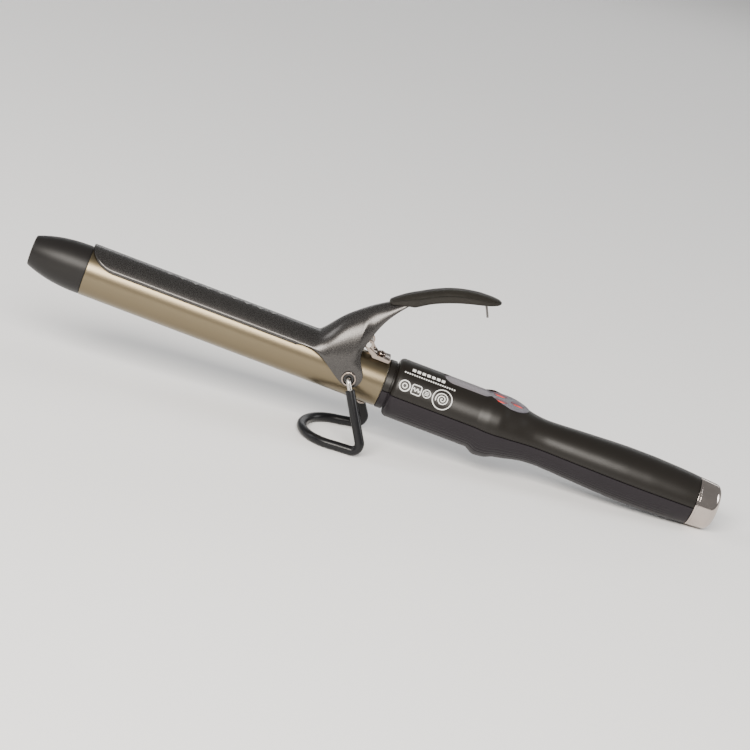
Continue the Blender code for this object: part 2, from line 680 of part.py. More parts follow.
def make_spring():
    """A torsion spring: one leg lies back on the bracket, the other pushes up under the lever."""
    half = COIL_TURNS * (COIL_WIRE + COIL_PITCH_GAP)
    start, turn = radians(-90), 2 * pi * COIL_TURNS + radians(200)
    path = [Vector((SPRING_PIN_X + SPRING_LEG, -half, SPRING_PIN_Z - COIL_RADIUS))]
    steps = 10 * COIL_TURNS
    for i in range(steps + 1):
        angle = start + turn * i / steps
        y = -half + 2 * half * i / steps
        path.append(Vector((SPRING_PIN_X + COIL_RADIUS * cos(angle), y, SPRING_PIN_Z + COIL_RADIUS * sin(angle))))
    reach = Vector((-17.8 * MM, half, 35.6 * MM + LEVER_LIFT))
    path.append(reach)
    loft("clamp_spring", sweep_rings(path, COIL_WIRE, 6), STEEL)


def make_screws():
    """Pan head screws that hold the bracket and the barrel to the socket."""
    seat = BARREL_RADIUS + GAP + BRACKET_SHEET + GAP
    point = BARREL_RADIUS - SCREW_GRIP
    profile = [
        (point, SCREW_RADIUS), (seat, SCREW_RADIUS), (seat, SCREW_HEAD_RADIUS),
        (seat + 0.6 * SCREW_HEAD, SCREW_HEAD_RADIUS), (seat + SCREW_HEAD, 0.6 * SCREW_HEAD_RADIUS),
    ]
    upright("bracket_screw", (BRACKET_SCREW_X, 0.0), profile, CHROME)
    seat = BARREL_RADIUS + GAP
    profile = [
        (-point, SCREW_RADIUS), (-seat, SCREW_RADIUS), (-seat, SCREW_HEAD_RADIUS),
        (-seat - 0.6 * SCREW_HEAD, SCREW_HEAD_RADIUS), (-seat - SCREW_HEAD, 0.6 * SCREW_HEAD_RADIUS),
    ]
    upright("barrel_screw", (BOTTOM_SCREW_X, 0.0), profile, CHROME)


# --- stand

def level(x, y, ahead):
    """A point of the foot, which lies flat on the table although the iron is tipped."""
    return Vector((x - ahead * cos(TILT), y, FOOT_BEND_Z - ahead * sin(TILT)))


def stand_path():
    half = [((PIVOT_X, WIRE_END_Y, 0.0), 0.0), ((PIVOT_X, LEG_TOP_Y, 0.0), ELBOW_RADIUS)]
    half.append(((FOOT_BEND_X, FOOT_HALF_WIDTH, FOOT_BEND_Z), FOOT_BEND_RADIUS))
    arch_width = FOOT_HALF_WIDTH - FOOT_TAPER
    half.append((level(FOOT_BEND_X, arch_width, FOOT_STRAIGHT), 0.0))
    side = bent_path(half)
    for i in range(1, 7):
        angle = pi / 2 * i / 6
        ahead = FOOT_STRAIGHT + FOOT_ARCH * sin(angle)
        side.append(level(FOOT_BEND_X, arch_width * cos(angle), ahead))
    other = [Vector((point.x, -point.y, point.z)) for point in reversed(side[:-1])]
    return side + other


def trimmed(path, length):
    """The path without the first and last stretch of the given length."""
    def drop(points):
        left = length
        for i in range(len(points) - 1):
            step = (points[i + 1] - points[i]).length
            if step > left:
                return [points[i].lerp(points[i + 1], left / step)] + points[i + 1:]
            left -= step
        return points
    return list(reversed(drop(list(reversed(drop(path))))))


def make_stand():
    hinge = (PIVOT_X, 0.0, 0.0)
    path = stand_path()
    loft("stand_wire", sweep_rings(path, WIRE_RADIUS, 8), STEEL, hinge)
    covered = trimmed(path, SLEEVE_START)
    outer = sweep_rings(covered, SLEEVE_RADIUS, 12)
    inner = sweep_rings(covered, WIRE_RADIUS + GAP, 12)
    loft("stand_sleeve", outer + list(reversed(inner)), BLACK_RUBBER, hinge, closed=True)


# --- handle

def stretched(place):
    """A drawn place along the handle; behind the waist the handle stretches with its length."""
    return place * MM * (HANDLE_END / DRAWN_END if place > DRAWN_WAIST else 1.0)


def handle_outline():
    """Places along the handle with its radius at the side and its depth below the axis."""
    swell = [
        (7.4, 16.1, 16.1), (30, 16.1, 16.1), (50, 16.15, 16.05), (54, 16.7, 16.8), (58, 17.3, 18.6),
        (63, 17.2, 18.1), (68, 16.1, 16.2), (73.5, 15.0, 15.0), (79, 13.6, 13.7), (84, 12.7, 12.8),
        (89.5, 12.4, 12.5), (96, 12.65, 12.7), (105, 13.2, 13.2), (115.5, 13.75, 13.75), (126, 14.3, 14.3),
        (136.5, 14.6, 14.6), (147, 14.6, 14.6), (157.5, 14.25, 14.25), (168, 13.75, 13.75), (174.8, 13.2, 13.2),
    ]
    scale = HANDLE_RADIUS / DRAWN_RADIUS
    blend = CAP_FRONT_RADIUS / DRAWN_REAR_RADIUS
    rows = []
    for x, side, depth in swell:
        share = smooth_step(x, 90, DRAWN_END / MM)
        factor = (scale * (1 - share) + blend * share) * MM
        rows.append((stretched(x), side * factor, depth * factor))
    return rows


def handle_sections():
    """Sections of the shells: place, outer side radius, outer depth, inner side radius, inner depth."""
    bore = NECK_BORE
    wide = HANDLE_RADIUS - SHELL_WALL
    steps = [
        (0.0, NECK_RADIUS, bore), (0.1 * MM, NECK_RADIUS - NECK_GROOVE, bore),
        (NECK_GROOVE, NECK_RADIUS - NECK_GROOVE, bore), (NECK_GROOVE + 0.1 * MM, HANDLE_RADIUS - 1.9 * MM, bore),
        (2 * NECK_GROOVE, HANDLE_RADIUS - 0.7 * MM, bore), (3.4 * MM, HANDLE_RADIUS, bore),
        (4.4 * MM, HANDLE_RADIUS, wide),
    ]
    rows = [(GAP, NECK_RADIUS, NECK_RADIUS, bore, bore)]
    rows += [(NECK_LENGTH + step, outer, outer, inner, inner) for step, outer, inner in steps]
    outline = handle_outline()
    sides = [(x, side) for x, side, _ in outline]
    depths = [(x, depth) for x, _, depth in outline]
    places = [30, 46, 51, 54, 56, 58, 61, 64, 67, 70, 73.5, 77, 80, 84, 88, 92, 97, 105, 116, 128, 140, 150, 160]
    for place in places:
        x = stretched(place)
        side = curve_through(sides, x)
        depth = curve_through(depths, x)
        rows.append((x, side, depth, side - SHELL_WALL, depth - SHELL_WALL))
    narrow = SPIGOT_RADIUS - SPIGOT_WALL
    rows.append((HANDLE_END - 6 * MM, *[curve_through(sides, HANDLE_END - 6 * MM)] * 2, narrow, narrow))
    rows.append((HANDLE_END, CAP_FRONT_RADIUS, CAP_FRONT_RADIUS, narrow, narrow))
    rows.append((HANDLE_END + 0.05 * MM, SPIGOT_RADIUS, SPIGOT_RADIUS, narrow, narrow))
    rows.append((HANDLE_END + SPIGOT_LENGTH, SPIGOT_RADIUS, SPIGOT_RADIUS, narrow, narrow))
    return rows


def shell_ring(section, side, steps=16):
    """A half round shell's cross section; side is 1 for the upper shell and -1 for the lower."""
    x, outer_side, outer_depth, inner_side, inner_depth = section
    seam = GAP / 2
    ring = []
    for inward, width, depth in ((False, outer_side, outer_depth), (True, inner_side, inner_depth)):
        height = width if side > 0 else depth
        row = []
        for i in range(steps + 1):
            angle = pi * i / steps
            z = max(seam, height * sin(angle))
            if inward and side > 0:
                z = min(z, SHELL_ROOF_Z)
            row.append((x, width * cos(angle), side * z))
        ring += list(reversed(row)) if inward else row
    return ring


def panel_half_width(x):
    """Half the width of the control panel: a strip with a round front that opens into an oval."""
    if x < PANEL_NECK:
        run = min(max((x - PANEL_FRONT) / PANEL_STRIP_HALF_WIDTH, 0.0), 1.0)
        return PANEL_STRIP_HALF_WIDTH * sqrt(max(1 - (1 - run) ** 2, 0.01))
    centre = (PANEL_NECK + PANEL_BACK) / 2
    reach = (PANEL_BACK - PANEL_NECK) / 2
    oval = PANEL_OVAL_HALF_WIDTH * sqrt(max(1 - ((x - centre) / reach) ** 2, 0.01))
    strip = PANEL_STRIP_HALF_WIDTH * (1 - smooth_step(x, PANEL_NECK, centre))
    return max(oval, strip)


def panel_top(x):
    return PANEL_TOP_Z - PANEL_FALL * smooth_step(x, PANEL_FALL_START, PANEL_BACK + 3 * MM)


def panel_rings(thickness, grow, above):
    """Cross sections of the panel, or of the pocket that it lies in when grow and above are set."""
    rounding = [PANEL_STRIP_HALF_WIDTH * share for share in (0.0, 0.06, 0.2, 0.5, 1.0)]
    places = [PANEL_FRONT + step for step in rounding]
    places += [PANEL_NECK + (PANEL_BACK - PANEL_NECK) * i / 16 for i in range(17)]
    rings = []
    for i, x in enumerate(places):
        half = panel_half_width(x) + grow
        end = -grow if i == 0 else grow if i == len(places) - 1 else 0.0
        top = panel_top(x)
        low = top - thickness
        rings.append([(x + end, -half, low), (x + end, half, low), (x + end, half, top + above),
                      (x + end, -half, top + above)])
    return rings


def button_places():
    return (
        ("button_plus", BUTTON_PAIR_X, BUTTON_PAIR_Y), ("button_minus", BUTTON_PAIR_X, -BUTTON_PAIR_Y),
        ("button_power", BUTTON_POWER_X, 0.0),
    )


def make_upper_shell():
    rings = [shell_ring(section, 1) for section in handle_sections()]
    shell = loft("handle_upper", rings, DARK_SHELL)
    cut(shell, loft("panel_pocket", panel_rings(PANEL_THICKNESS + GAP, GAP, 4 * MM)))
    for name, x, y in button_places():
        along = BUTTON_LENGTH / 2 + GAP
        across = BUTTON_WIDTH / 2 + GAP
        hole = [(SHELL_ROOF_Z - 2 * MM, along, across), (PANEL_TOP_Z + MM, along, across)]
        cut(shell, oval_stack(name + "_hole", (x, y), hole))
    for x in SHELL_SCREWS_X:
        inner = inner_radius_at(x)
        add_boss(shell, "upper_post_%d" % round(x / MM), x, 0.5 * MM, inner + 0.9 * MM)
        screw_hole(shell, "upper_bore_%d" % round(x / MM), x, 0.0, 7.0 * MM)
    for x in BOARD_SCREWS_X:
        add_boss(shell, "board_post_%d" % round(x / MM), x, BOARD_TOP_Z + GAP, SHELL_ROOF_Z + 0.8 * MM)
        screw_hole(shell, "board_bore_%d" % round(x / MM), x, 0.0, BOARD_TOP_Z + 5.5 * MM)


def inner_radius_at(x):
    sides = [(place, side) for place, side, _ in handle_outline()]
    return curve_through(sides, x) - SHELL_WALL


def add_boss(shell, name, x, low, high):
    join(shell, upright(name, (x, 0.0), [(low, BOSS_RADIUS), (high, BOSS_RADIUS)]))


def screw_hole(shell, name, x, low, high, radius=SCREW_RADIUS + GAP):
    cut(shell, upright(name, (x, 0.0), [(low, radius), (high, radius)]))


def make_lower_shell():
    rings = [shell_ring(section, -1) for section in handle_sections()]
    shell = loft("handle_lower", rings, PLUM_SHELL)
    for x in SHELL_SCREWS_X:
        inner = inner_radius_at(x)
        word = "%d" % round(x / MM)
        add_boss(shell, "lower_post_" + word, x, -inner - 0.9 * MM, -0.5 * MM)
        seat = -inner + 3.0 * MM
        outside = -inner - 6 * MM
        sunk = SCREW_HEAD_RADIUS + GAP
        narrow = SCREW_RADIUS + GAP
        stepped = [(outside, sunk), (seat, sunk), (seat, narrow), (2 * MM, narrow)]
        cut(shell, upright("lower_bore_" + word, (x, 0.0), stepped))
        profile = [
            (seat - GAP - SCREW_HEAD, SCREW_HEAD_RADIUS), (seat - GAP, SCREW_HEAD_RADIUS),
            (seat - GAP, SCREW_RADIUS), (6.5 * MM, SCREW_RADIUS),
        ]
        upright("shell_screw_" + word, (x, 0.0), profile, STEEL)


def make_panel():
    panel = loft("control_panel", panel_rings(PANEL_THICKNESS, 0.0, 0.0), MAUVE_PLASTIC)
    for name, x, y in button_places():
        along = BUTTON_LENGTH / 2
        across = BUTTON_WIDTH / 2
        hole = [(PANEL_TOP_Z - 4 * MM, along, across), (PANEL_TOP_Z + MM, along, across)]
        cut(panel, oval_stack(name + "_window", (x, y), hole))


def make_buttons():
    """Buttons sunk below the panel, each with a flange that keeps it in and a stem to its switch."""
    for name, x, y in button_places():
        top = panel_top(x) - BUTTON_RECESS
        along = BUTTON_LENGTH / 2 - GAP
        across = BUTTON_WIDTH / 2 - GAP
        flange_top = SHELL_ROOF_Z - GAP
        flange_low = flange_top - BUTTON_FLANGE_HEIGHT
        wide = BUTTON_FLANGE + GAP
        foot = BOARD_TOP_Z + GAP + SWITCH_HEIGHT + GAP + BUTTON_TRAVEL
        profile = [
            (foot, BUTTON_STEM, BUTTON_STEM), (flange_low, BUTTON_STEM, BUTTON_STEM),
            (flange_low, along + wide, across + wide),
            (flange_top, along + wide, across + wide), (flange_top, along, across), (top, along, across),
        ]
        oval_stack(name, (x, y), profile, RED_PLASTIC, origin=(x, y, top))


def make_board():
    low = (BOARD_FRONT, -BOARD_HALF_WIDTH, BOARD_TOP_Z - BOARD_THICKNESS)
    board = block("circuit_board", low, (BOARD_BACK, BOARD_HALF_WIDTH, BOARD_TOP_Z), GREEN_BOARD)
    under = BOARD_TOP_Z - BOARD_THICKNESS - GAP
    for x in BOARD_SCREWS_X:
        word = "%d" % round(x / MM)
        screw_hole(board, "board_hole_" + word, x, 0.0, BOARD_TOP_Z + MM)
        profile = [
            (under - SCREW_HEAD, SCREW_HEAD_RADIUS), (under, SCREW_HEAD_RADIUS), (under, SCREW_RADIUS),
            (BOARD_TOP_Z + 5.0 * MM, SCREW_RADIUS),
        ]
        upright("board_screw_" + word, (x, 0.0), profile, STEEL)
    half = SWITCH_SIZE / 2
    for name, x, y in button_places():
        floor_z = BOARD_TOP_Z + GAP
        top = floor_z + SWITCH_HEIGHT
        plunger = [(floor_z + MM, PLUNGER_RADIUS), (top, PLUNGER_RADIUS)]
        switch = block(name.replace("button", "switch"), (x - half, y - half, floor_z),
                       (x + half, y + half, top - 1.0 * MM), BLACK_PLASTIC)
        join(switch, upright(name + "_plunger", (x, y), plunger, sides=12))
    block("power_triac", (37 * MM, -5 * MM, under - 4.5 * MM), (46 * MM, 5 * MM, under), BLACK_PLASTIC)
    block("filter_capacitor", (54 * MM, -6 * MM, under - 9 * MM), (67 * MM, 6 * MM, under), YELLOW_PLASTIC)


# --- end cap and swivel

def make_cap():
    front = HANDLE_END + GAP
    rounding = []
    for i in range(6):
        angle = pi / 2 * i / 5
        centre = (CAP_BACK - CAP_ROUNDING, CAP_BACK_RADIUS - CAP_ROUNDING)
        rounding.append((centre[0] + CAP_ROUNDING * sin(angle), centre[1] + CAP_ROUNDING * cos(angle)))
    hole = SWIVEL_RADIUS + GAP
    inner = CAP_FRONT_RADIUS - CAP_WALL
    wall_x = CAP_BACK - CAP_WALL
    profile = [(front, CAP_FRONT_RADIUS)] + rounding + [(CAP_BACK, hole), (wall_x, hole)]
    profile += [(wall_x, inner - 2.5 * MM), (wall_x - 2.5 * MM, inner), (front, inner)]
    turned("end_cap", profile, CHROME)


def make_swivel():
    """The cord's swivel: a core with a bore for the cord, two slip rings and their contacts."""
    wall_x = CAP_BACK - CAP_WALL
    flange_back = wall_x - GAP
    flange_front = flange_back - SWIVEL_FLANGE
    core = SWIVEL_BARREL_RADIUS
    flange = SWIVEL_RADIUS + SWIVEL_FLANGE_STEP
    profile = [
        (SWIVEL_FRONT, core), (flange_front, core), (flange_front, flange),
        (flange_back, flange), (flange_back, SWIVEL_RADIUS), (CAP_BACK, SWIVEL_RADIUS),
        (CAP_BACK, CORD_BORE), (SWIVEL_FRONT, CORD_BORE),
    ]
    turned("swivel_core", profile, BLACK_PLASTIC, 24, origin=(SWIVEL_FRONT, 0.0, 0.0))
    for x, word in zip(SLIP_RINGS_X, ("front", "rear")):
        half = SLIP_RING_WIDTH / 2
        bore = core + GAP
        ring = [(x - half, SLIP_RING_RADIUS), (x + half, SLIP_RING_RADIUS), (x + half, bore), (x - half, bore)]
        turned("slip_ring_" + word, ring, BRASS, 24, origin=(SWIVEL_FRONT, 0.0, 0.0))
        low = SLIP_RING_RADIUS + GAP
        contact = [(x - 0.8 * MM, low), (x + 0.8 * MM, low), (x + 0.8 * MM, low + 0.5 * MM)]
        contact += [(x - 3.2 * MM, low + 2.2 * MM), (x - 3.2 * MM, low + 1.7 * MM)]
        plate("brush_contact_" + word, contact, -1.5 * MM, 1.5 * MM, BRASS)
    retainer = [
        (flange_front - GAP - RETAINER, SPIGOT_RADIUS), (flange_front - GAP, SPIGOT_RADIUS),
        (flange_front - GAP, core + GAP), (flange_front - GAP - RETAINER, core + GAP),
    ]
    turned("swivel_retainer", retainer, STEEL)


def stand_on_table():
    """Put the middle of the iron's bounding box over the origin, with its lowest point at z = 0."""
    bpy.context.view_layer.update()
    shown = [item for item in IRON.children if not item.hide_render]
    points = [item.matrix_world @ vertex.co for item in shown for vertex in item.data.vertices]
    low, high = min(point.x for point in points), max(point.x for point in points)
    IRON.location.x -= (low + high) / 2
    IRON.location.z -= min(point.z for point in points)


clear_scene()
IRON = bpy.data.objects.new("iron", None)
IRON.rotation_euler = (0.0, TILT, 0.0)
bpy.context.collection.objects.link(IRON)

BLACK_PLASTIC = paint("black_plastic", (0.018, 0.017, 0.017), 0.5)
BLACK_RUBBER = paint("black_rubber", (0.012, 0.012, 0.014), 0.45)
DARK_SHELL = paint("dark_shell", (0.028, 0.025, 0.022), 0.38)
PLUM_SHELL = paint("plum_shell", (0.035, 0.031, 0.038), 0.45)
MAUVE_PLASTIC = paint("mauve_plastic", (0.16, 0.14, 0.16), 0.4)
RED_PLASTIC = paint("red_plastic", (0.8, 0.05, 0.03), 0.3)
YELLOW_PLASTIC = paint("yellow_plastic", (0.75, 0.55, 0.1), 0.4)
GREEN_BOARD = paint("green_board", (0.02, 0.2, 0.08), 0.4)
RED_WIRE = paint("red_wire", (0.6, 0.05, 0.04), 0.45)
CERAMIC = paint("ceramic", (0.8, 0.77, 0.7), 0.5)
GLASS = paint("glass_bead", (0.7, 0.5, 0.3), 0.15)
CHAMPAGNE_METAL = paint("champagne_metal", (0.42, 0.35, 0.24), 0.32, 1.0)
GRAPHITE_METAL = paint("graphite_metal", (0.12, 0.115, 0.11), 0.34, 0.8)
ALUMINIUM = paint("aluminium", (0.75, 0.75, 0.76), 0.4, 1.0)
CHROME = paint("chrome", (0.7, 0.66, 0.62), 0.12, 1.0)
STEEL = paint("steel", (0.6, 0.6, 0.6), 0.3, 1.0)
DARK_STEEL = paint("dark_steel", (0.15, 0.14, 0.14), 0.35, 1.0)
BRASS = paint("brass", (0.75, 0.55, 0.25), 0.3, 1.0)

make_tip()
make_barrel()
make_heater()
make_leads()
make_socket()
make_rivets()
make_clamp()
make_thumb_pad()
make_stop_pin()
make_bracket()
make_spring()
make_screws()
make_stand()
make_upper_shell()
make_lower_shell()
make_panel()
make_buttons()
make_board()
make_cap()
make_swivel()
stand_on_table()
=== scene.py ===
# %% [markdown]
# # A clamp curling iron on its wire stand
#
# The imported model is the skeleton: it says where every piece is and how it moves. This notebook
# gives that skeleton its skin. Each step first says what a piece is on the real iron and how it
# could be made, and then makes it. Nothing here changes a size: the pieces take their places
# from the frame.

# %% Load the frame
import json
from math import asin, ceil, cos, pi, radians, sin, sqrt

import bmesh
import bpy
from mathutils import Matrix, Vector


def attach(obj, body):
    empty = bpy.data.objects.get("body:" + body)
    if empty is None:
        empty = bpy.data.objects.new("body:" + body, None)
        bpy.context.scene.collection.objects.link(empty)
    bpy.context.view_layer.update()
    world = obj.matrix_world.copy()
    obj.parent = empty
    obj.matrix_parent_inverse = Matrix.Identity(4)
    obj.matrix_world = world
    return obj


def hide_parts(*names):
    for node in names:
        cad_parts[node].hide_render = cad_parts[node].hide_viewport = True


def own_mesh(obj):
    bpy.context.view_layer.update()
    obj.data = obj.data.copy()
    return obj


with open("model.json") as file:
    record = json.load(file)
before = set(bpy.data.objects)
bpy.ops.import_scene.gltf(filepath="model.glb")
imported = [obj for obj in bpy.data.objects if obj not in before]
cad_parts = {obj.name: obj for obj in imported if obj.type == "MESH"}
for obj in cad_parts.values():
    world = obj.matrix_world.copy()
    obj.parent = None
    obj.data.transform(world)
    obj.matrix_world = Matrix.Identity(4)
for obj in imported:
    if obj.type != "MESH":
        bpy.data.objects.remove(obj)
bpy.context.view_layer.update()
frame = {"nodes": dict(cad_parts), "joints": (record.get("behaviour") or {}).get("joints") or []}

# %% [markdown]
# ## The iron's own frame
#
# The iron stands tipped up on its stand, which makes every number awkward. It is easier to model
# it level, with X along the barrel, and to tip the finished meshes once. The swivel in the end
# cap turns about the barrel's line, so its joint gives the tip's direction, and the clamp's hinge
# gives one known point on that line.

# %% Place of the iron in the frame
MM = 0.001
GAP = 0.3 * MM
PIVOT_X = -18.0 * MM

joints = {joint["name"]: joint for joint in frame["joints"]}
ALONG = Vector(joints["cord_swivel_turn"]["axis"]).normalized()
TILT = asin(-ALONG.z)
PIVOT = Vector(joints["clamp_hinge"]["pos_m"])
TURN = Matrix.Rotation(TILT, 4, "Y")
IRON = Matrix.Translation(PIVOT - TURN @ Vector((PIVOT_X, 0.0, 0.0))) @ TURN
print("the iron is tipped by %.2f degrees" % (TILT * 180 / pi))

# %% [markdown]
# ## Writing materials as sums
#
# A material is a small graph of nodes. Wiring it by hand hides the idea behind dozens of link
# calls, so a socket is wrapped in a class that understands +, - and *. Then a pattern reads like
# the formula it is. Every node that isn't plain arithmetic comes from one method, which takes its
# kind, its settings and its inputs.

# %% A socket that can be added and multiplied
class Wire:
    """An output socket in a node tree; sums of wires add the Math nodes that work them out."""

    def __init__(self, sheet, socket):
        self.sheet = sheet
        self.socket = socket

    def _math(self, operation, first, second):
        return self.sheet.node("ShaderNodeMath", {"operation": operation}, {0: first, 1: second})

    def __add__(self, other):
        return self._math("ADD", self, other)

    def __sub__(self, other):
        return self._math("SUBTRACT", self, other)

    def __mul__(self, other):
        return self._math("MULTIPLY", self, other)

    __radd__ = __add__
    __rmul__ = __mul__


class Sheet:
    """A node tree that is written with one method."""

    def __init__(self, tree):
        self.tree = tree

    def node(self, kind, settings=None, inputs=None, output=0):
        made = self.tree.nodes.new(kind)
        for name, value in (settings or {}).items():
            if name == "stops":
                self._set_stops(made.color_ramp, value)
            else:
                setattr(made, name, value)
        for name, value in (inputs or {}).items():
            if isinstance(value, Wire):
                self.tree.links.new(value.socket, made.inputs[name])
            else:
                made.inputs[name].default_value = value
        return Wire(self, made.outputs[output]) if made.outputs else made

    def _set_stops(self, ramp, stops):
        while len(ramp.elements) > 1:
            ramp.elements.remove(ramp.elements[-1])
        for index, (place, grey) in enumerate(stops):
            element = ramp.elements[0] if index == 0 else ramp.elements.new(place)
            element.position = place
            element.color = (grey, grey, grey, 1.0)


# %% The helpers that every finish uses
def iron_place(sheet):
    """The point on the surface in the iron's level frame, in metres."""
    place = sheet.node("ShaderNodeTexCoord", output=3)
    centre = IRON.translation
    settings = {"vector_type": "TEXTURE"}
    turned = {"Vector": place, "Location": tuple(centre), "Rotation": (0.0, TILT, 0.0)}
    return sheet.node("ShaderNodeMapping", settings, turned)


def stretched(sheet, place, scale):
    return sheet.node("ShaderNodeMapping", None, {"Vector": place, "Scale": scale})


def noise(sheet, place, scale, detail=3.0, roughness=0.5):
    values = {"Vector": place, "Scale": scale, "Detail": detail, "Roughness": roughness}
    return sheet.node("ShaderNodeTexNoise", None, values)


def ramp(sheet, value, stops):
    return sheet.node("ShaderNodeValToRGB", {"stops": stops}, {0: value})


def blend_colours(sheet, mask, first, second):
    inputs = {0: mask, 6: (*first, 1.0) if isinstance(first, tuple) else first}
    inputs[7] = (*second, 1.0) if isinstance(second, tuple) else second
    return sheet.node("ShaderNodeMix", {"data_type": "RGBA"}, inputs, output=2)


def bump(sheet, height, distance, strength=1.0):
    return sheet.node("ShaderNodeBump", None, {"Height": height, "Distance": distance, "Strength": strength})


def finish(name, draw, **uniform):
    """A material whose even values are set on the shader and whose drawn values come from draw()."""
    material = bpy.data.materials.new(name)
    material.use_nodes = True
    shader = material.node_tree.nodes["Principled BSDF"]
    for socket, value in uniform.items():
        shader.inputs[socket.replace("_", " ")].default_value = value
    sheet = Sheet(material.node_tree)
    for socket, wire in draw(sheet).items():
        material.node_tree.links.new(wire.socket, shader.inputs[socket.replace("_", " ")])
    return material


# %% [markdown]
# ## Metals
#
# The barrel is coated in a satin champagne. The coating is polished on a lathe, which leaves only
# the faintest rings, so the highlight runs along the barrel as one soft band. The clamp is stamped
# steel under graphite paint with metal flakes in it: each flake is a small cell of its own
# brightness. Chrome needs almost no pattern, only a trace of uneven polish.

# %% Metal finishes
def draw_barrel(sheet):
    place = iron_place(sheet)
    lines = noise(sheet, stretched(sheet, place, (5200.0, 40.0, 40.0)), 1.0, 1.0)
    clouds = noise(sheet, place, 28.0, 2.0)
    colour = blend_colours(sheet, clouds, (0.175, 0.142, 0.090), (0.190, 0.155, 0.099))
    return {
        "Base_Color": colour,
        "Roughness": 0.30 + 0.02 * lines + 0.02 * clouds,
        "Normal": bump(sheet, lines, 0.000002, 0.15),
    }


def draw_flakes(sheet):
    place = iron_place(sheet)
    flakes = sheet.node("ShaderNodeTexVoronoi", None, {"Vector": place, "Scale": 6200.0}, output=1)
    bright = ramp(sheet, flakes, [(0.0, 0.0), (0.45, 0.25), (0.8, 0.5), (1.0, 1.0)])
    clouds = noise(sheet, place, 30.0)
    colour = blend_colours(sheet, bright, (0.026, 0.024, 0.023), (0.13, 0.123, 0.118))
    return {
        "Base_Color": colour,
        "Roughness": 0.22 + 0.10 * bright + 0.06 * clouds,
        "Normal": bump(sheet, flakes, 0.00001, 0.25),
    }


def polish(dark, light, roughness):
    """A polished or plain metal with a trace of uneven polish."""
    def draw(sheet):
        clouds = noise(sheet, iron_place(sheet), 160.0, 4.0)
        scratches = noise(sheet, stretched(sheet, iron_place(sheet), (300.0, 4000.0, 900.0)), 1.0)
        return {
            "Base_Color": blend_colours(sheet, clouds, dark, light),
            "Roughness": roughness + 0.06 * clouds + 0.04 * scratches,
            "Normal": bump(sheet, scratches, 0.000004, 0.3),
        }
    return draw


CHAMPAGNE = finish("champagne_coating", draw_barrel, Metallic=1.0)
GRAPHITE = finish("graphite_flake_paint", draw_flakes, Metallic=0.8, Coat_Weight=0.25, Coat_Roughness=0.22)


def metal(name, dark, light, roughness):
    return finish(name, polish(dark, light, roughness), Metallic=1.0)


CHROME = metal("warm_chrome", (0.42, 0.37, 0.34), (0.52, 0.46, 0.42), 0.07)
# A darker, warmer copy of the chrome for the bracket, rivets and screws: painted dark reflections.
CHROME_PAINTED_DARK = metal("chrome_with_painted_dark_reflections", (0.26, 0.215, 0.185), (0.38, 0.32, 0.28), 0.12)
BARE_STEEL = metal("bare_steel", (0.50, 0.48, 0.45), (0.66, 0.63, 0.59), 0.2)
DARK_STEEL = metal("blackened_steel", (0.10, 0.095, 0.09), (0.17, 0.16, 0.155), 0.28)
BRASS = metal("brass", (0.62, 0.43, 0.17), (0.78, 0.58, 0.28), 0.22)
ALUMINIUM = metal("extruded_aluminium", (0.68, 0.69, 0.70), (0.80, 0.80, 0.81), 0.32)

# %% [markdown]
# ## Plastics, rubber and the rest
#
# Moulded plastic is never quite flat: the mould is etched or blasted, which gives a fine grain.
# The thumb pad and the cool tip have a coarse matt grain, the handle's shells a fine satin one.
# One function draws the grain, and each plastic gives it its own colours, size and depth.

# %% Moulded finishes
def grain(dark, light, size, depth, roughness, spread=0.10):
    """A moulded surface: colour, grain size in metres, grain depth in metres and roughness."""
    def draw(sheet):
        place = iron_place(sheet)
        fine = noise(sheet, place, 1.0 / size, 2.0, 0.6)
        clouds = noise(sheet, place, 38.0, 3.0)
        return {
            "Base_Color": blend_colours(sheet, 0.6 * clouds + 0.4 * fine, dark, light),
            "Roughness": roughness + spread * fine,
            "Normal": bump(sheet, fine, depth, 0.6),
        }
    return draw


def draw_panel(sheet):
    """The panel: a brushed strip, and a plainer, bluer oval round the buttons."""
    place = iron_place(sheet)
    x = sheet.node("ShaderNodeSeparateXYZ", None, {0: place})
    strip = ramp(sheet, (x - 0.050) * 120.0, [(0.0, 0.0), (1.0, 1.0)])
    brushed = noise(sheet, stretched(sheet, place, (120.0, 6000.0, 120.0)), 1.0, 2.0)
    base = blend_colours(sheet, brushed, (0.120, 0.108, 0.122), (0.200, 0.182, 0.200))
    return {
        "Base_Color": blend_colours(sheet, strip, base, (0.105, 0.100, 0.120)),
        "Roughness": 0.30 + 0.14 * brushed,
        "Normal": bump(sheet, brushed, 0.00001, 0.4),
    }


def draw_red(sheet):
    """Tinted plastic, a little cloudy."""
    clouds = noise(sheet, iron_place(sheet), 220.0)
    colour = blend_colours(sheet, clouds, (0.86, 0.012, 0.006), (0.95, 0.030, 0.014))
    return {"Base_Color": colour, "Roughness": 0.18 + 0.08 * clouds}


def moulded(name, dark, light, size, depth, roughness, shine=0.5):
    """A plastic, with its grain's size and depth in millimetres."""
    return finish(name, grain(dark, light, size * MM, depth * MM, roughness), Specular_IOR_Level=shine)


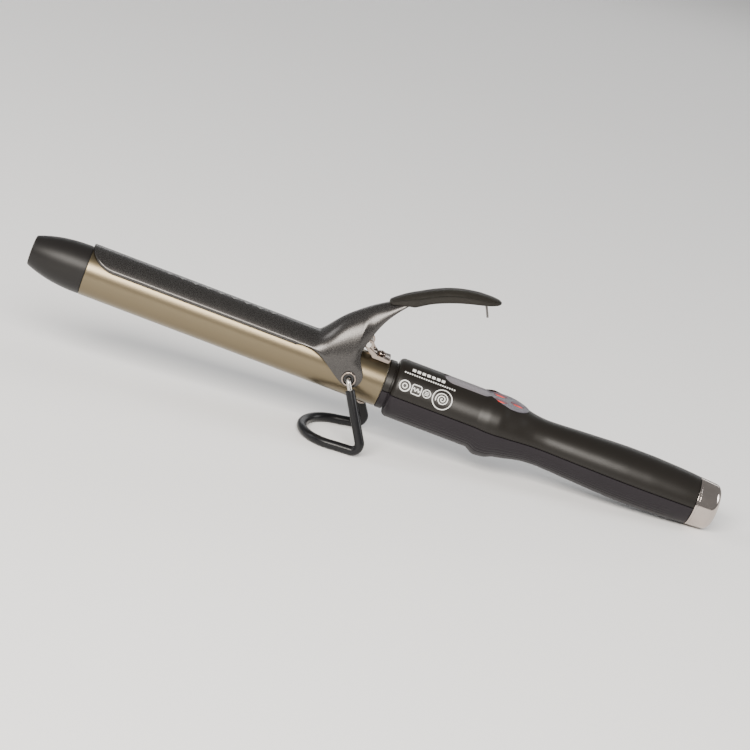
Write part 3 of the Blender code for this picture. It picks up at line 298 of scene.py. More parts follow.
SATIN = 0.28
TIP_PLASTIC = moulded("matt_black_tip", (0.006, 0.005, 0.005), (0.012, 0.011, 0.010), 0.35, 0.03, 0.36, SATIN)
PAD_PLASTIC = moulded("grained_black_pad", (0.003, 0.003, 0.002), (0.024, 0.021, 0.017), 0.9, 0.45, 0.36,
                      0.22)
UPPER_PLASTIC = moulded("satin_upper_shell", (0.007, 0.006, 0.005), (0.012, 0.010, 0.008), 0.3, 0.02, 0.30,
                        SATIN)
LOWER_PLASTIC = moulded("satin_lower_shell", (0.011, 0.009, 0.011), (0.017, 0.014, 0.017), 0.3, 0.02, 0.40,
                        0.2)
BLACK_PLASTIC = moulded("black_plastic", (0.010, 0.010, 0.011), (0.018, 0.018, 0.019), 0.4, 0.02, 0.45)
RUBBER = moulded("silicone_sleeve", (0.004, 0.004, 0.005), (0.008, 0.008, 0.009), 0.6, 0.03, 0.24, SATIN)
PANEL = finish("mauve_panel", draw_panel)
# The red keys are plastic, not lamps: their emission is a painted glow.
RED_PAINTED_GLOW = finish("tinted_red_with_painted_glow", draw_red, Specular_IOR_Level=0.3, Emission_Color=(0.9, 0.03, 0.01, 1.0),
             Emission_Strength=1.0)
PRINT = moulded("white_print", (0.62, 0.62, 0.60), (0.78, 0.78, 0.76), 0.4, 0.01, 0.5)
MARK = moulded("black_print", (0.010, 0.010, 0.010), (0.016, 0.015, 0.015), 0.4, 0.01, 0.5)
CERAMIC = moulded("heater_ceramic", (0.70, 0.67, 0.60), (0.82, 0.79, 0.72), 0.6, 0.02, 0.5)
BOARD = moulded("board_green", (0.012, 0.12, 0.05), (0.02, 0.19, 0.08), 0.8, 0.01, 0.35)
LEAD = moulded("red_lead", (0.42, 0.03, 0.02), (0.6, 0.06, 0.04), 0.7, 0.02, 0.4)
YELLOW = moulded("yellow_case", (0.60, 0.42, 0.06), (0.78, 0.58, 0.12), 0.7, 0.01, 0.3)
GLASS_BEAD = moulded("glazed_bead", (0.45, 0.25, 0.12), (0.62, 0.40, 0.22), 0.7, 0.01, 0.15)

# %% [markdown]
# ## Skins over rings
#
# Nearly every piece of an iron is round or long, so nearly every mesh is a row of rings with a
# skin over them. One function makes that skin. Curves through a few chosen sizes give the rings
# in between, and a rounded profile takes the sharp corners off what a lathe would turn.

# %% Mesh helpers
def new_piece(name, points, faces, materials, smooth_angle=radians(32)):
    """An object in the iron's level frame; keep() tips it into its place later."""
    mesh = bpy.data.meshes.new(name)
    mesh.from_pydata([tuple(point) for point in points], [], faces)
    for material in materials:
        mesh.materials.append(material)
    mesh.validate()
    shade(mesh, smooth_angle)
    item = bpy.data.objects.new(name, mesh)
    bpy.context.scene.collection.objects.link(item)
    return item


def shade(mesh, angle=radians(32)):
    mesh.shade_smooth()
    mesh.set_sharp_from_angle(angle=angle)


def outward(mesh):
    """Turn the faces of a closed mesh to point out."""
    work = bmesh.new()
    work.from_mesh(mesh)
    bmesh.ops.recalc_face_normals(work, faces=work.faces)
    work.to_mesh(mesh)
    work.free()


def skin(name, rings, materials, closed=False, caps=True):
    count = len(rings[0])
    points = [point for ring in rings for point in ring]
    faces = []
    for ring in range(len(rings) if closed else len(rings) - 1):
        here = ring * count
        there = (ring + 1) % len(rings) * count
        for side in range(count):
            after = (side + 1) % count
            faces.append((here + side, here + after, there + after, there + side))
    if caps and not closed:
        faces.append(tuple(reversed(range(count))))
        faces.append(tuple(range(len(points) - count, len(points))))
    item = new_piece(name, points, faces, materials)
    outward(item.data)
    shade(item.data)
    return item


def settle(item):
    """The object with its modifiers worked into a plain mesh."""
    bpy.context.view_layer.update()
    graph = bpy.context.evaluated_depsgraph_get()
    mesh = bpy.data.meshes.new_from_object(item.evaluated_get(graph))
    made = bpy.data.objects.new(item.name, mesh)
    name = item.name
    bpy.data.objects.remove(item)
    made.name = name
    bpy.context.scene.collection.objects.link(made)
    return made


def carve(item, tool, operation="DIFFERENCE"):
    modifier = item.modifiers.new("carve", "BOOLEAN")
    modifier.operation = operation
    modifier.object = tool
    made = settle(item)
    bpy.data.objects.remove(tool)
    shade(made.data)
    return made


def soften(item, width, segments=2, angle=radians(40), slot=-1):
    """Round the sharp edges a little, because no real edge is sharp."""
    modifier = item.modifiers.new("soften", "BEVEL")
    modifier.width = width
    modifier.segments = segments
    modifier.limit_method = "ANGLE"
    modifier.angle_limit = angle
    modifier.harden_normals = False
    modifier.material = slot
    made = settle(item)
    shade(made.data, radians(50))
    return made


def keep(item, body, slot, *nodes):
    """Tip a finished piece into its place, let it ride on its body and hide the frame's pieces it stands for.
    """
    item.data.transform(IRON)
    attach(item, body)
    if nodes:
        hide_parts(*nodes)
    size = [round(1000 * side, 1) for side in item.dimensions]
    print("%-22s %6d faces, %s mm" % (item.name, len(item.data.polygons), size))
    return item


# %% Curves and profiles
def smooth_step(value, start, end):
    share = min(max((value - start) / (end - start), 0.0), 1.0)
    return share * share * (3 - 2 * share)


def curve_through(points, value):
    """The height at a place along (place, height) points, as a smooth monotone curve."""
    last = len(points) - 2
    index = max(i for i in range(last + 1) if i == 0 or points[i][0] <= value)
    slopes = []
    for i in (index, index + 1):
        before = (points[i][1] - points[i - 1][1]) / (points[i][0] - points[i - 1][0]) if i else 0.0
        after = before
        if i <= last:
            after = (points[i + 1][1] - points[i][1]) / (points[i + 1][0] - points[i][0])
        slopes.append(2 * before * after / (before + after) if before * after > 0 else 0.0)
    (x0, y0), (x1, y1) = points[index], points[index + 1]
    t = min(max((value - x0) / (x1 - x0), 0.0), 1.0)
    level = y0 * (1 + 2 * t) * (1 - t) ** 2 + y1 * t * t * (3 - 2 * t)
    return level + (x1 - x0) * (slopes[0] * t * (1 - t) ** 2 - slopes[1] * t * t * (1 - t))


def between(rows, steps):
    """Rows of numbers with smooth curves through every column, steps to each span."""
    columns = list(zip(*rows))
    places = [i / steps for i in range((len(rows) - 1) * steps + 1)]
    made = []
    for place in places:
        made.append([curve_through(list(enumerate(column)), place) for column in columns])
    return made


def rounded(corners, steps=5):
    """A path in a plane whose corners are arcs, from (x, r, corner radius) points."""
    path = []
    for i, (x, r, radius) in enumerate(corners):
        corner = Vector((x, r))
        if radius == 0 or i in (0, len(corners) - 1):
            path.append(corner)
            continue
        back = (Vector(corners[i - 1][:2]) - corner).normalized()
        ahead = (Vector(corners[i + 1][:2]) - corner).normalized()
        half = back.angle(ahead) / 2
        centre = corner + (back + ahead).normalized() * radius / sin(half)
        first = corner + back * radius * cos(half) / sin(half) - centre
        sweep = (pi - 2 * half) * (1 if back.x * ahead.y - back.y * ahead.x < 0 else -1)
        for k in range(steps + 1):
            turn = sweep * k / steps
            path.append(centre + Vector((first.x * cos(turn) - first.y * sin(turn),
                                         first.x * sin(turn) + first.y * cos(turn))))
    return path


def about_x(point, radius, angle):
    return (point, radius * cos(angle), radius * sin(angle))


def turned(name, corners, materials, sides=96, closed=True, steps=5):
    """A piece turned about the iron's axis; its profile closes on itself, or on the axis."""
    profile = rounded(corners, steps)
    angles = [2 * pi * i / sides for i in range(sides)]
    rings = [[about_x(point.x, max(point.y, 0.00002), angle) for angle in angles] for point in profile]
    return skin(name, rings, materials, closed=closed)


def laid(item, place, axis):
    """Move a piece that was turned about X so that it is turned about another line."""
    turn = Vector((1.0, 0.0, 0.0)).rotation_difference(Vector(axis)).to_matrix().to_4x4()
    item.data.transform(Matrix.Translation(Vector(place)) @ turn)
    return item


# %% [markdown]
# ## A tree of nodes that sweeps a tube
#
# The stand's wire, its rubber sleeve and the spring are all one thing: a round section drawn
# along a path. Geometry Nodes does that with Curve to Mesh, and the same tree serves them all,
# because its radius and its number of sides are named inputs.

# %% The sweeping tree
def new_tree(name, inputs):
    """A node group with a sheet to write on and a wire for each of its named inputs."""
    tree = bpy.data.node_groups.new(name, "GeometryNodeTree")
    tree.interface.new_socket("Geometry", in_out="OUTPUT", socket_type="NodeSocketGeometry")
    for word, kind in inputs:
        tree.interface.new_socket(word, in_out="INPUT", socket_type="NodeSocket" + kind)
    sheet = Sheet(tree)
    inlet = tree.nodes.new("NodeGroupInput")
    return sheet, {socket.name: Wire(sheet, socket) for socket in inlet.outputs}


def end_tree(sheet, geometry, material):
    """Make the geometry real, give it its material and send it out."""
    solid = sheet.node("GeometryNodeRealizeInstances", None, {"Geometry": geometry})
    painted = sheet.node("GeometryNodeSetMaterial", None, {"Geometry": solid, "Material": material})
    outlet = sheet.tree.nodes.new("NodeGroupOutput")
    sheet.tree.links.new(painted.socket, outlet.inputs[0])
    return sheet.tree


def sweeping_tree():
    sheet, inputs = new_tree("sweep_a_tube", [
        ("Geometry", "Geometry"), ("Radius", "Float"), ("Sides", "Int"), ("Finish", "Material")])
    ring = sheet.node("GeometryNodeCurvePrimitiveCircle", None,
                      {"Resolution": inputs["Sides"], "Radius": inputs["Radius"]})
    tube = sheet.node("GeometryNodeCurveToMesh", None,
                      {"Curve": inputs["Geometry"], "Profile Curve": ring, "Fill Caps": True})
    return end_tree(sheet, tube, inputs["Finish"])


SWEEP = sweeping_tree()


def apply_tree(item, tree, values):
    """Run a tree on an object with values for its named inputs, and keep the plain mesh."""
    modifier = item.modifiers.new(tree.name, "NODES")
    modifier.node_group = tree
    for socket in tree.interface.items_tree:
        if socket.in_out == "INPUT" and socket.name in values:
            modifier[socket.identifier] = values[socket.name]
    made = settle(item)
    shade(made.data)
    return made


def swept(name, path, radius, sides, material):
    curve = bpy.data.curves.new(name, "CURVE")
    curve.dimensions = "3D"
    line = curve.splines.new("POLY")
    line.points.add(len(path) - 1)
    for point, place in zip(line.points, path):
        point.co = (*place, 1.0)
    item = bpy.data.objects.new(name, curve)
    bpy.context.scene.collection.objects.link(item)
    made = apply_tree(item, SWEEP, {"Radius": radius, "Sides": sides, "Finish": material})
    outward(made.data)
    shade(made.data)
    return made


def bent_path(corners, step=radians(5)):
    """A path of straight runs with arcs at its corners, from (point, bend radius) pairs."""
    path = [Vector(corners[0][0])]
    for i in range(1, len(corners) - 1):
        corner = Vector(corners[i][0])
        back = (Vector(corners[i - 1][0]) - corner).normalized()
        ahead = (Vector(corners[i + 1][0]) - corner).normalized()
        half = back.angle(ahead) / 2
        if corners[i][1] == 0:
            path.append(corner)
            continue
        centre = corner + (back + ahead).normalized() * corners[i][1] / sin(half)
        arm = corner + back * corners[i][1] * cos(half) / sin(half) - centre
        axis = back.cross(ahead).normalized()
        bend = pi - 2 * half
        steps = max(2, ceil(bend / step))
        for k in range(steps + 1):
            path.append(centre + Matrix.Rotation(-bend * k / steps, 3, axis) @ arm)
    path.append(Vector(corners[-1][0]))
    return path


# %% [markdown]
# ## The barrel and its cool tip
#
# The barrel is a plain tube with its edges broken. The tip is a moulded plug that starts flush
# with it and draws in towards a flat end, faster and faster, so its outline is a power curve and
# not a cone. Between the two is a fine dark seam.

# %% Barrel and tip
BARREL_RADIUS = 13.0 * MM
BARREL_BORE = 12.0 * MM
BARREL_LENGTH = 164.8 * MM
TIP_LENGTH = 30.2 * MM
TIP_FRONT_RADIUS = 7.9 * MM

tube = [
    (-80 * MM, BARREL_RADIUS, 0), (0.0, BARREL_RADIUS, 0.3 * MM), (0.0, BARREL_BORE, 0.2 * MM),
    (-BARREL_LENGTH, BARREL_BORE, 0.2 * MM), (-BARREL_LENGTH, BARREL_RADIUS, 0.25 * MM),
    (-81 * MM, BARREL_RADIUS, 0),
]
keep(turned("barrel_skin", tube, [CHAMPAGNE], 160), "iron", "champagne_metal", "barrel_tube")

front = -BARREL_LENGTH - TIP_LENGTH + 0.02 * MM
back = -BARREL_LENGTH - GAP
plug = [(front + 0.25 * MM, 0.0, 0), (front + 0.25 * MM, 4.4 * MM, 0.1 * MM), (front, 4.9 * MM, 0.1 * MM)]
plug += [(front, TIP_FRONT_RADIUS - 0.1 * MM, 0.8 * MM)]
for i in range(1, 25):
    share = (i / 24) ** 1.15
    reach = TIP_FRONT_RADIUS + (BARREL_RADIUS - TIP_FRONT_RADIUS) * (1 - (1 - share) ** 2.4)
    plug.append((front + (back - front) * share, reach - (0.12 * MM if i == 24 else 0.0), 0))
plug += [(back, BARREL_BORE - GAP, 0), (back + 9 * MM, BARREL_BORE - GAP, 0), (back + 9 * MM, 0.0, 0)]
keep(turned("tip_skin", plug, [TIP_PLASTIC], 128, closed=False), "iron", "black_plastic", "cool_tip")

# %% [markdown]
# ## The clamp
#
# The clamp is one stamped sheet: a half pipe over the barrel, which widens into two flat cheeks at
# the hinge and rises in the middle as an arched lever. Cutting and joining simple solids would
# leave hard seams, so the sheet is drawn as a net instead. Each row of the net goes over the sheet
# from the foot of one cheek, up the cheek, over the arch and down the other side. Along the sheet
# the rows fan out round the hinge. Solidify then gives the net its thickness; the sheet is painted
# all over, save along the lever's rear edge, which is bare metal.

# %% The clamp's net
SHEET = 1.1 * MM
BLADE_OUTER = 14.8 * MM
BLADE_FRONT = -165.3 * MM
BLADE_ROUNDING = 14.0 * MM
BLADE_ANGLE = 57.0
ARCH_STEPS = 22
CHEEK_STEPS = 6
ROW_STEPS = 4
CREASE_ROW = 1
SMOOTHING_PASSES = 14
PIVOT_HOLE = 3.4 * MM
PAINTED, BARE, CUT_EDGE = 0, 1, 2

# Each row: crown x and z, shoulder x and z, half width at the shoulder, angle of the arch,
# and the edge's x and z, in millimetres and degrees.
full = BLADE_OUTER / MM
LEVER_ROWS = [
    (-42.5, 14.8, -44.0, 8.1, 12.6, 58, -44.2, 8.0), (-40.3, 15.0, -41.0, 8.3, 13.1, 62, -41.2, 7.9),
    (-38.3, 17.2, -38.2, 7.9, 13.8, 70, -38.3, 7.3), (-35.6, 21.3, -34.7, 6.9, 14.4, 80, -35.0, 5.7),
    (-32.2, 25.8, -31.3, 5.9, full, 88, -31.4, 3.3), (-29.2, 29.0, -28.3, 5.3, full, 90, -27.9, 0.6),
    (-26.8, 31.2, -25.8, 5.0, full, 90, -24.6, -1.6), (-24.9, 32.9, -23.8, 5.0, full, 90, -21.6, -3.5),
    (-23.6, 34.1, -22.4, 5.3, full, 90, -18.2, -4.75), (-22.6, 34.9, -21.3, 5.8, full, 90, -15.3, -4.3),
    (-21.9, 35.5, -20.5, 6.5, full - 0.1, 90, -12.9, -2.7),
    (-21.3, 36.0, -19.9, 7.3, full - 0.2, 90, -11.4, -0.3),
    (-20.8, 36.4, -19.4, 8.2, full - 0.3, 90, -11.0, 2.4),
    (-20.3, 36.8, -19.0, 9.3, full - 0.5, 90, -11.9, 5.2),
    (-19.8, 37.2, -18.6, 10.6, full - 0.9, 90, -13.7, 8.0),
    (-19.2, 37.7, -18.2, 12.2, full - 1.5, 90, -15.6, 10.6),
    (-18.4, 38.3, -17.6, 14.6, full - 2.4, 90, -17.0, 13.9),
    (-16.9, 39.4, -16.2, 18.8, 10.9, 90, -16.1, 18.6), (-14.9, 40.8, -14.3, 24.4, 9.5, 90, -14.2, 24.2),
    (-12.4, 42.4, -12.4, 31.0, 8.3, 90, -12.3, 30.8), (-8.0, 45.2, -8.2, 38.6, 7.2, 90, -8.2, 38.4),
    (-2.0, 48.8, -2.2, 45.6, 5.6, 90, -2.2, 45.4),
]


def blade_rows():
    rows = []
    for share in (0.0, 0.008, 0.03, 0.07, 0.13, 0.22, 0.34, 0.48, 0.64, 0.82, 1.0):
        x = BLADE_FRONT / MM + BLADE_ROUNDING / MM * share
        rows.append((x, BLADE_ANGLE * max(0.05, sqrt(1 - (1 - share) ** 2))))
    rows += [(x, BLADE_ANGLE) for x in (-148, -130, -110, -90, -70, -56, -50, -46.5)]
    made = []
    for x, angle in rows:
        edge = full * cos(radians(angle)), full * sin(radians(angle))
        made.append((x, full, x, edge[0], edge[1], angle, x, edge[0]))
    return made


def eased(before, here, after):
    """A row drawn halfway towards the middle of its neighbours."""
    return [0.5 * b + 0.25 * (a + c) for a, b, c in zip(before, here, after)]


def net_row(row):
    """Points over the sheet's outer face, from one edge to the other."""
    top_x, top_z, low_x, low_z, half, degrees, edge_x, edge_z = [value * MM for value in row]
    spread = radians(row[5])
    half_row = []
    for i in range(ARCH_STEPS + 1):
        angle = spread * i / ARCH_STEPS
        rise = (cos(angle) - cos(spread)) / (1 - cos(spread))
        y = half * sin(angle) / sin(spread)
        half_row.append((low_x + (top_x - low_x) * rise, y, low_z + (top_z - low_z) * rise))
    foot = min(BLADE_OUTER, sqrt(max(BLADE_OUTER ** 2 - edge_z ** 2, 0.0))) if edge_x < -46 * MM else half
    for i in range(1, CHEEK_STEPS + 1):
        share = i / CHEEK_STEPS
        half_row.append((low_x + (edge_x - low_x) * share, half + (foot - half) * share,
                         low_z + (edge_z - low_z) * share))
    other = [(x, -y, z) for x, y, z in reversed(half_row[1:])]
    return other + half_row


def at_rear_edge(face):
    """Whether a face lies on the lever's rear edge, where the paint is worn off."""
    return face.center.x > -24 * MM and face.center.z > 13 * MM


def make_clamp():
    blade = blade_rows()
    lever = between(LEVER_ROWS[CREASE_ROW:], ROW_STEPS)
    for _ in range(SMOOTHING_PASSES):
        lever = [lever[0]] + [eased(*lever[i - 1:i + 2]) for i in range(1, len(lever) - 1)] + [lever[-1]]
    rise = between([blade[-1]] + LEVER_ROWS[:CREASE_ROW + 1], ROW_STEPS)
    rows = blade[:-1] + rise[:-1] + lever
    net = [net_row(row) for row in rows]
    count = len(net[0])
    points = [point for row in net for point in row]
    faces = []
    for i in range(len(net) - 1):
        for j in range(count - 1):
            here = i * count + j
            faces.append((here, here + count, here + count + 1, here + 1))
    item = new_piece("clamp_sheet", points, faces, [GRAPHITE, BARE_STEEL, GRAPHITE])
    middle = item.data.polygons[3 * (count - 1) + count // 2]
    if middle.normal.z < 0:
        item.data.flip_normals()
    wall = item.modifiers.new("thickness", "SOLIDIFY")
    wall.thickness = SHEET
    wall.offset = -1.0
    wall.use_even_offset = True
    wall.thickness_clamp = 0.0
    wall.material_offset = BARE
    wall.material_offset_rim = CUT_EDGE
    item = settle(item)
    for face in item.data.polygons:
        if face.material_index == CUT_EDGE and at_rear_edge(face):
            face.material_index = BARE
    shade(item.data, radians(50))
    return item


def rod(name, start, end, radius, sides=64):
    """A plain rod between two points, used to carve a hole."""
    start, end = Vector(start), Vector(end)
    length = (end - start).length
    profile = [(0.0, 0.0, 0), (0.0, radius, 0), (length, radius, 0), (length, 0.0, 0)]
    return laid(turned(name, profile, [], sides, False), start, end - start)


clamp = make_clamp()
clamp = carve(clamp, rod("hole", (PIVOT_X, -20 * MM, 0), (PIVOT_X, 20 * MM, 0), PIVOT_HOLE))
clamp = soften(clamp, 0.40 * MM, 2, radians(60), BARE)
for face in clamp.data.polygons:
    if face.material_index == BARE and not at_rear_edge(face):
        face.material_index = PAINTED
keep(clamp, "clamp_lever", "graphite_metal", "clamp")

# %% [markdown]
# ## Embossing along the blade
#
# The top of the blade carries a pressed row of small raised marks. Here it is a plain row of
# lozenges. A row is a repeat, so a tree lays one lozenge on a line of points; the flat row is
# then rolled onto the blade's round top.

# %% The embossed row
def row_tree():
    sheet, inputs = new_tree("row_of_marks", [
        ("Geometry", "Geometry"), ("Count", "Int"), ("First", "Vector"), ("Step", "Vector"),
        ("Finish", "Material")])
    line = sheet.node("GeometryNodeMeshLine", {"mode": "OFFSET"},
                      {"Count": inputs["Count"], "Start Location": inputs["First"], "Offset": inputs["Step"]})
    marks = sheet.node("GeometryNodeInstanceOnPoints", None, {"Points": line, "Instance": inputs["Geometry"]})
    return end_tree(sheet, marks, inputs["Finish"])


ROW_OF_MARKS = row_tree()


def raised_mark(name, outline, low, high, bevel):
    """A flat mark with a sloping edge, from an outline in x and y."""
    middle = [sum(side) / len(outline) for side in zip(*outline)]
    rings = []
    for height, shrink in ((low, 1.0), (high - bevel, 1.0), (high, 1.0 - bevel / (3 * MM))):
        rings.append([(middle[0] + (x - middle[0]) * shrink, middle[1] + (y - middle[1]) * shrink, height)
                      for x, y in outline])
    return skin(name, rings, [])


def rolled(item, radius):
    """Roll a flat piece lying at z = 0 onto a round top of that radius."""
    for vertex in item.data.vertices:
        x, y, z = vertex.co
        vertex.co = (x, (radius + z) * sin(y / radius), (radius + z) * cos(y / radius))
    return item


diamond = [(2.6 * MM * cos(a) * (0.55 + 0.45 * abs(cos(a))), 2.4 * MM * sin(a) * (0.6 + 0.4 * abs(sin(a))))
           for a in (2 * pi * i / 24 for i in range(24))]
row = raised_mark("blade_embossing", diamond, -0.2 * MM, 0.16 * MM, 0.12 * MM)
values = {"Count": 9, "First": (-124 * MM, 0.0, 0.0), "Step": (7.2 * MM, 0.0, 0.0), "Finish": GRAPHITE}
row = rolled(apply_tree(row, ROW_OF_MARKS, values), BLADE_OUTER)
keep(row, "clamp_lever", "graphite_metal")

# %% [markdown]
# ## Thumb pad and stop pin
#
# The pad is moulded over the lever's end: a long leaf with upright sides, a fine ridge where the
# sides meet the top, and a gently crowned top. Its cross section changes along its length, so it
# is a loft through a few chosen sections, with each section's corners cut until they are smooth.

# %% The pad
PAD_STATIONS = [
    (-12.4, 43.75, 43.2, 2.0), (-12.0, 44.4, 42.7, 3.2), (-10.4, 45.9, 42.7, 4.5), (-6.0, 49.4, 44.2, 5.9),
    (-1.6, 52.3, 45.4, 6.6), (0.5, 53.5, 45.9, 6.8), (8.0, 57.8, 50.8, 7.0), (16.0, 61.3, 54.6, 7.0),
    (24.0, 63.4, 57.5, 6.9), (31.0, 64.4, 59.4, 6.5), (36.8, 64.6, 60.8, 5.4), (40.6, 64.3, 62.1, 3.7),
    (41.8, 63.9, 62.7, 2.3), (42.2, 63.6, 63.0, 1.2),
]


def cut_corners(ring, times):
    """Chaikin's corner cutting on a closed ring of (y, z) points."""
    for _ in range(times):
        made = []
        for i, (y, z) in enumerate(ring):
            next_y, next_z = ring[(i + 1) % len(ring)]
            made.append((0.75 * y + 0.25 * next_y, 0.75 * z + 0.25 * next_z))
            made.append((0.25 * y + 0.75 * next_y, 0.25 * z + 0.75 * next_z))
        ring = made
    return ring


def pad_ring(x, top, low, half):
    tall = top - low
    ridge = low + 0.60 * tall
    right = [(0.0, low), (0.80 * half, low), (half, low + 0.05 * tall), (half, low + 0.3 * tall),
             (0.97 * half, ridge - 0.08 * tall), (half, ridge - 0.02 * tall), (half, ridge + 0.02 * tall),
             (0.93 * half, ridge + 0.05 * tall), (0.86 * half, ridge + 0.03 * tall),
             (0.80 * half, ridge + 0.12 * tall), (0.62 * half, ridge + 0.27 * tall), (0.32 * half, top)]
    left = [(-y, z) for y, z in reversed(right[1:])]
    ring = cut_corners(right + [(0.0, top)] + left, 1)
    return [(x * MM, y * MM, z * MM) for y, z in ring]


rings = [pad_ring(*row) for row in between(PAD_STATIONS, 6)]
pad = skin("pad_skin", rings, [PAD_PLASTIC])
shade(pad.data, radians(28))
keep(pad, "clamp_lever", "black_plastic", "thumb_pad")

pin_path = [Vector((x * MM, 0.0, z * MM)) for x, z in ((38.2, 53.4), (37.9, 54.2), (34.6, 60.6))]
pin = swept("pin_skin", pin_path, 0.6 * MM, 24, DARK_STEEL)
keep(soften(pin, 0.15 * MM), "clamp_lever", "dark_steel", "stop_pin")

# %% [markdown]
# ## Rivets and bushes
#
# Each side of the hinge is a hollow rivet with a rolled, polished rim, and in it sits a black bush
# that the stand's wire turns in. Both are turned pieces laid along the hinge's line.

# %% Rivets
for side, word in ((-1, "left"), (1, "right")):
    seat = BLADE_OUTER + GAP
    rim = [
        (10.4 * MM, 3.1 * MM, 0.1 * MM), (seat, 3.1 * MM, 0.1 * MM), (seat, 4.0 * MM, 0.25 * MM),
        (seat + 0.7 * MM, 3.8 * MM, 0.4 * MM), (seat + 0.7 * MM, 2.95 * MM, 0.35 * MM),
        (seat - 0.3 * MM, 2.85 * MM, 0.2 * MM), (10.4 * MM, 2.85 * MM, 0.1 * MM), (10.41 * MM, 3.0 * MM, 0),
    ]
    rivet = laid(turned("rivet_" + word, rim, [CHROME_PAINTED_DARK], 72), (PIVOT_X, 0, 0), (0, side, 0))
    keep(rivet, "iron", "chrome", "pivot_rivet_" + word)
    bush = [
        (10.4 * MM, 2.7 * MM, 0.1 * MM), (seat + 0.2 * MM, 2.7 * MM, 0.2 * MM),
        (seat + 0.2 * MM, 1.55 * MM, 0.15 * MM), (10.4 * MM, 1.55 * MM, 0.1 * MM), (10.41 * MM, 2.5 * MM, 0),
    ]
    liner = laid(turned("bush_" + word, bush, [BLACK_PLASTIC], 48), (PIVOT_X, 0, 0), (0, side, 0))
    keep(liner, "iron", "black_plastic", "stand_bush_" + word)

# %% [markdown]
# ## The stand
#
# One steel wire makes the whole stand. Its ends turn in the bushes, its legs lean back and out, and
# its foot is a round loop that lies flat on the table. A rubber sleeve covers all but the ends.

# %% Wire and sleeve
WIRE_RADIUS = 1.25 * MM
SLEEVE_RADIUS = 2.54 * MM
SLEEVE_START = 12.5 * MM
LEG_TOP_Y = 17.9 * MM
FOOT_X, FOOT_Z = 2.2 * MM, -33.0 * MM
FOOT_HALF_WIDTH = 24.0 * MM
FOOT_STRAIGHT, FOOT_ARCH, FOOT_TAPER = 15.0 * MM, 18.8 * MM, 3.0 * MM


def foot_point(y, ahead):
    """A point of the foot, flat on the table although the iron is tipped."""
    return Vector((FOOT_X - ahead * cos(TILT), y, FOOT_Z - ahead * sin(TILT)))


def stand_path():
    half = [((PIVOT_X, 9.8 * MM, 0.0), 0.0), ((PIVOT_X, LEG_TOP_Y, 0.0), 2.2 * MM)]
    half.append(((FOOT_X, FOOT_HALF_WIDTH, FOOT_Z), 4.0 * MM))
    arch = FOOT_HALF_WIDTH - FOOT_TAPER
    half.append((foot_point(arch, FOOT_STRAIGHT), 0.0))
    side = bent_path(half)
    for i in range(1, 25):
        angle = pi / 2 * i / 24
        side.append(foot_point(arch * cos(angle), FOOT_STRAIGHT + FOOT_ARCH * sin(angle)))
    return side + [Vector((point.x, -point.y, point.z)) for point in reversed(side[:-1])]


def trimmed(path, length):
    """The path without its first and last stretch."""
    def drop(points):
        left = length
        for i in range(len(points) - 1):
            step = (points[i + 1] - points[i]).length
            if step > left:
                return [points[i].lerp(points[i + 1], left / step)] + points[i + 1:]
            left -= step
        return points
    return list(reversed(drop(list(reversed(drop(path))))))


path = stand_path()
wire = swept("wire_skin", path, WIRE_RADIUS, 32, BARE_STEEL)
keep(soften(wire, 0.2 * MM), "wire_stand", "steel", "stand_wire")
sleeve = swept("sleeve_skin", trimmed(path, SLEEVE_START), SLEEVE_RADIUS, 40, RUBBER)
keep(soften(sleeve, 0.5 * MM, 3), "wire_stand", "black_rubber", "stand_sleeve")

# %% [markdown]
# ## Spring bracket
#
# A small bent plate is screwed to the barrel behind the hinge. Its two ears carry a pin, and the
# closing spring is wound round the pin between them. It is chrome, with its finish darkened and
# warmed as painted dark reflections, and it is seen from close by, so it gets real bends, a curled
# rear lip, slotted screws and softened edges.

# %% Bracket, pin and spring
PIN_X, PIN_Z = -14.3 * MM, 18.5 * MM
PLATE_Z = BARREL_RADIUS + GAP
PLATE = 1.0 * MM
EAR_HALF = 5.4 * MM


def plate(name, outline, low, high, materials):
    rings = [[(x, y, z) for x, z in outline] for y in (low, high)]
    return skin(name, rings, materials)


def make_bracket():
    strip = [
        (-11.1 * MM, PLATE_Z, 0), (-0.9 * MM, PLATE_Z, 0.3 * MM), (-0.5 * MM, PLATE_Z + 0.9 * MM, 0.2 * MM),
        (-1.0 * MM, PLATE_Z + PLATE + 0.1 * MM, 0.4 * MM), (-9.0 * MM, PLATE_Z + PLATE, 0.6 * MM),
        (-11.1 * MM, PLATE_Z + 1.6 * MM, 0),
    ]
    outline = [(point.x, point.y) for point in rounded(strip, 4)]
    base = plate("bracket_skin", outline, -EAR_HALF, EAR_HALF, [CHROME_PAINTED_DARK])
    angles = [radians(-20 + 7.6 * i) for i in range(30)]
    ear = [(PIN_X + 3 * MM * cos(a), PIN_Z + 3 * MM * sin(a)) for a in angles]
    foot = [(-11.6, 0.6), (-11.0, 0.1), (-7.9, 0.1), (-8.2, 1.4), (-9.6, 2.2)]
    ear += [(x * MM, PLATE_Z + rise * MM) for x, rise in foot]
    for low, high in ((-EAR_HALF - 0.1 * MM, -4.2 * MM), (4.2 * MM, EAR_HALF + 0.1 * MM)):
        base = carve(base, plate("ear", ear, low, high, [CHROME_PAINTED_DARK]), "UNION")
    hem = [
        (-10.6 * MM, PLATE_Z - 0.7 * MM, 0), (-9.6 * MM, PLATE_Z - 0.95 * MM, 0.3 * MM),
        (-1.0 * MM, PLATE_Z - 0.95 * MM, 0.8 * MM), (-0.5 * MM, PLATE_Z + PLATE, 0.9 * MM),
        (-10.6 * MM, PLATE_Z + PLATE, 0),
    ]
    outline = [(point.x, point.y) for point in rounded(hem, 4)]
    for low, high in ((-EAR_HALF - 0.1 * MM, -4.9 * MM), (4.9 * MM, EAR_HALF + 0.1 * MM)):
        base = carve(base, plate("hem", outline, low, high, [CHROME_PAINTED_DARK]), "UNION")
    hole = rod("hole", (PIN_X, -9 * MM, PIN_Z), (PIN_X, 9 * MM, PIN_Z), 1.2 * MM, 32)
    return soften(carve(base, hole), 0.14 * MM, 2)


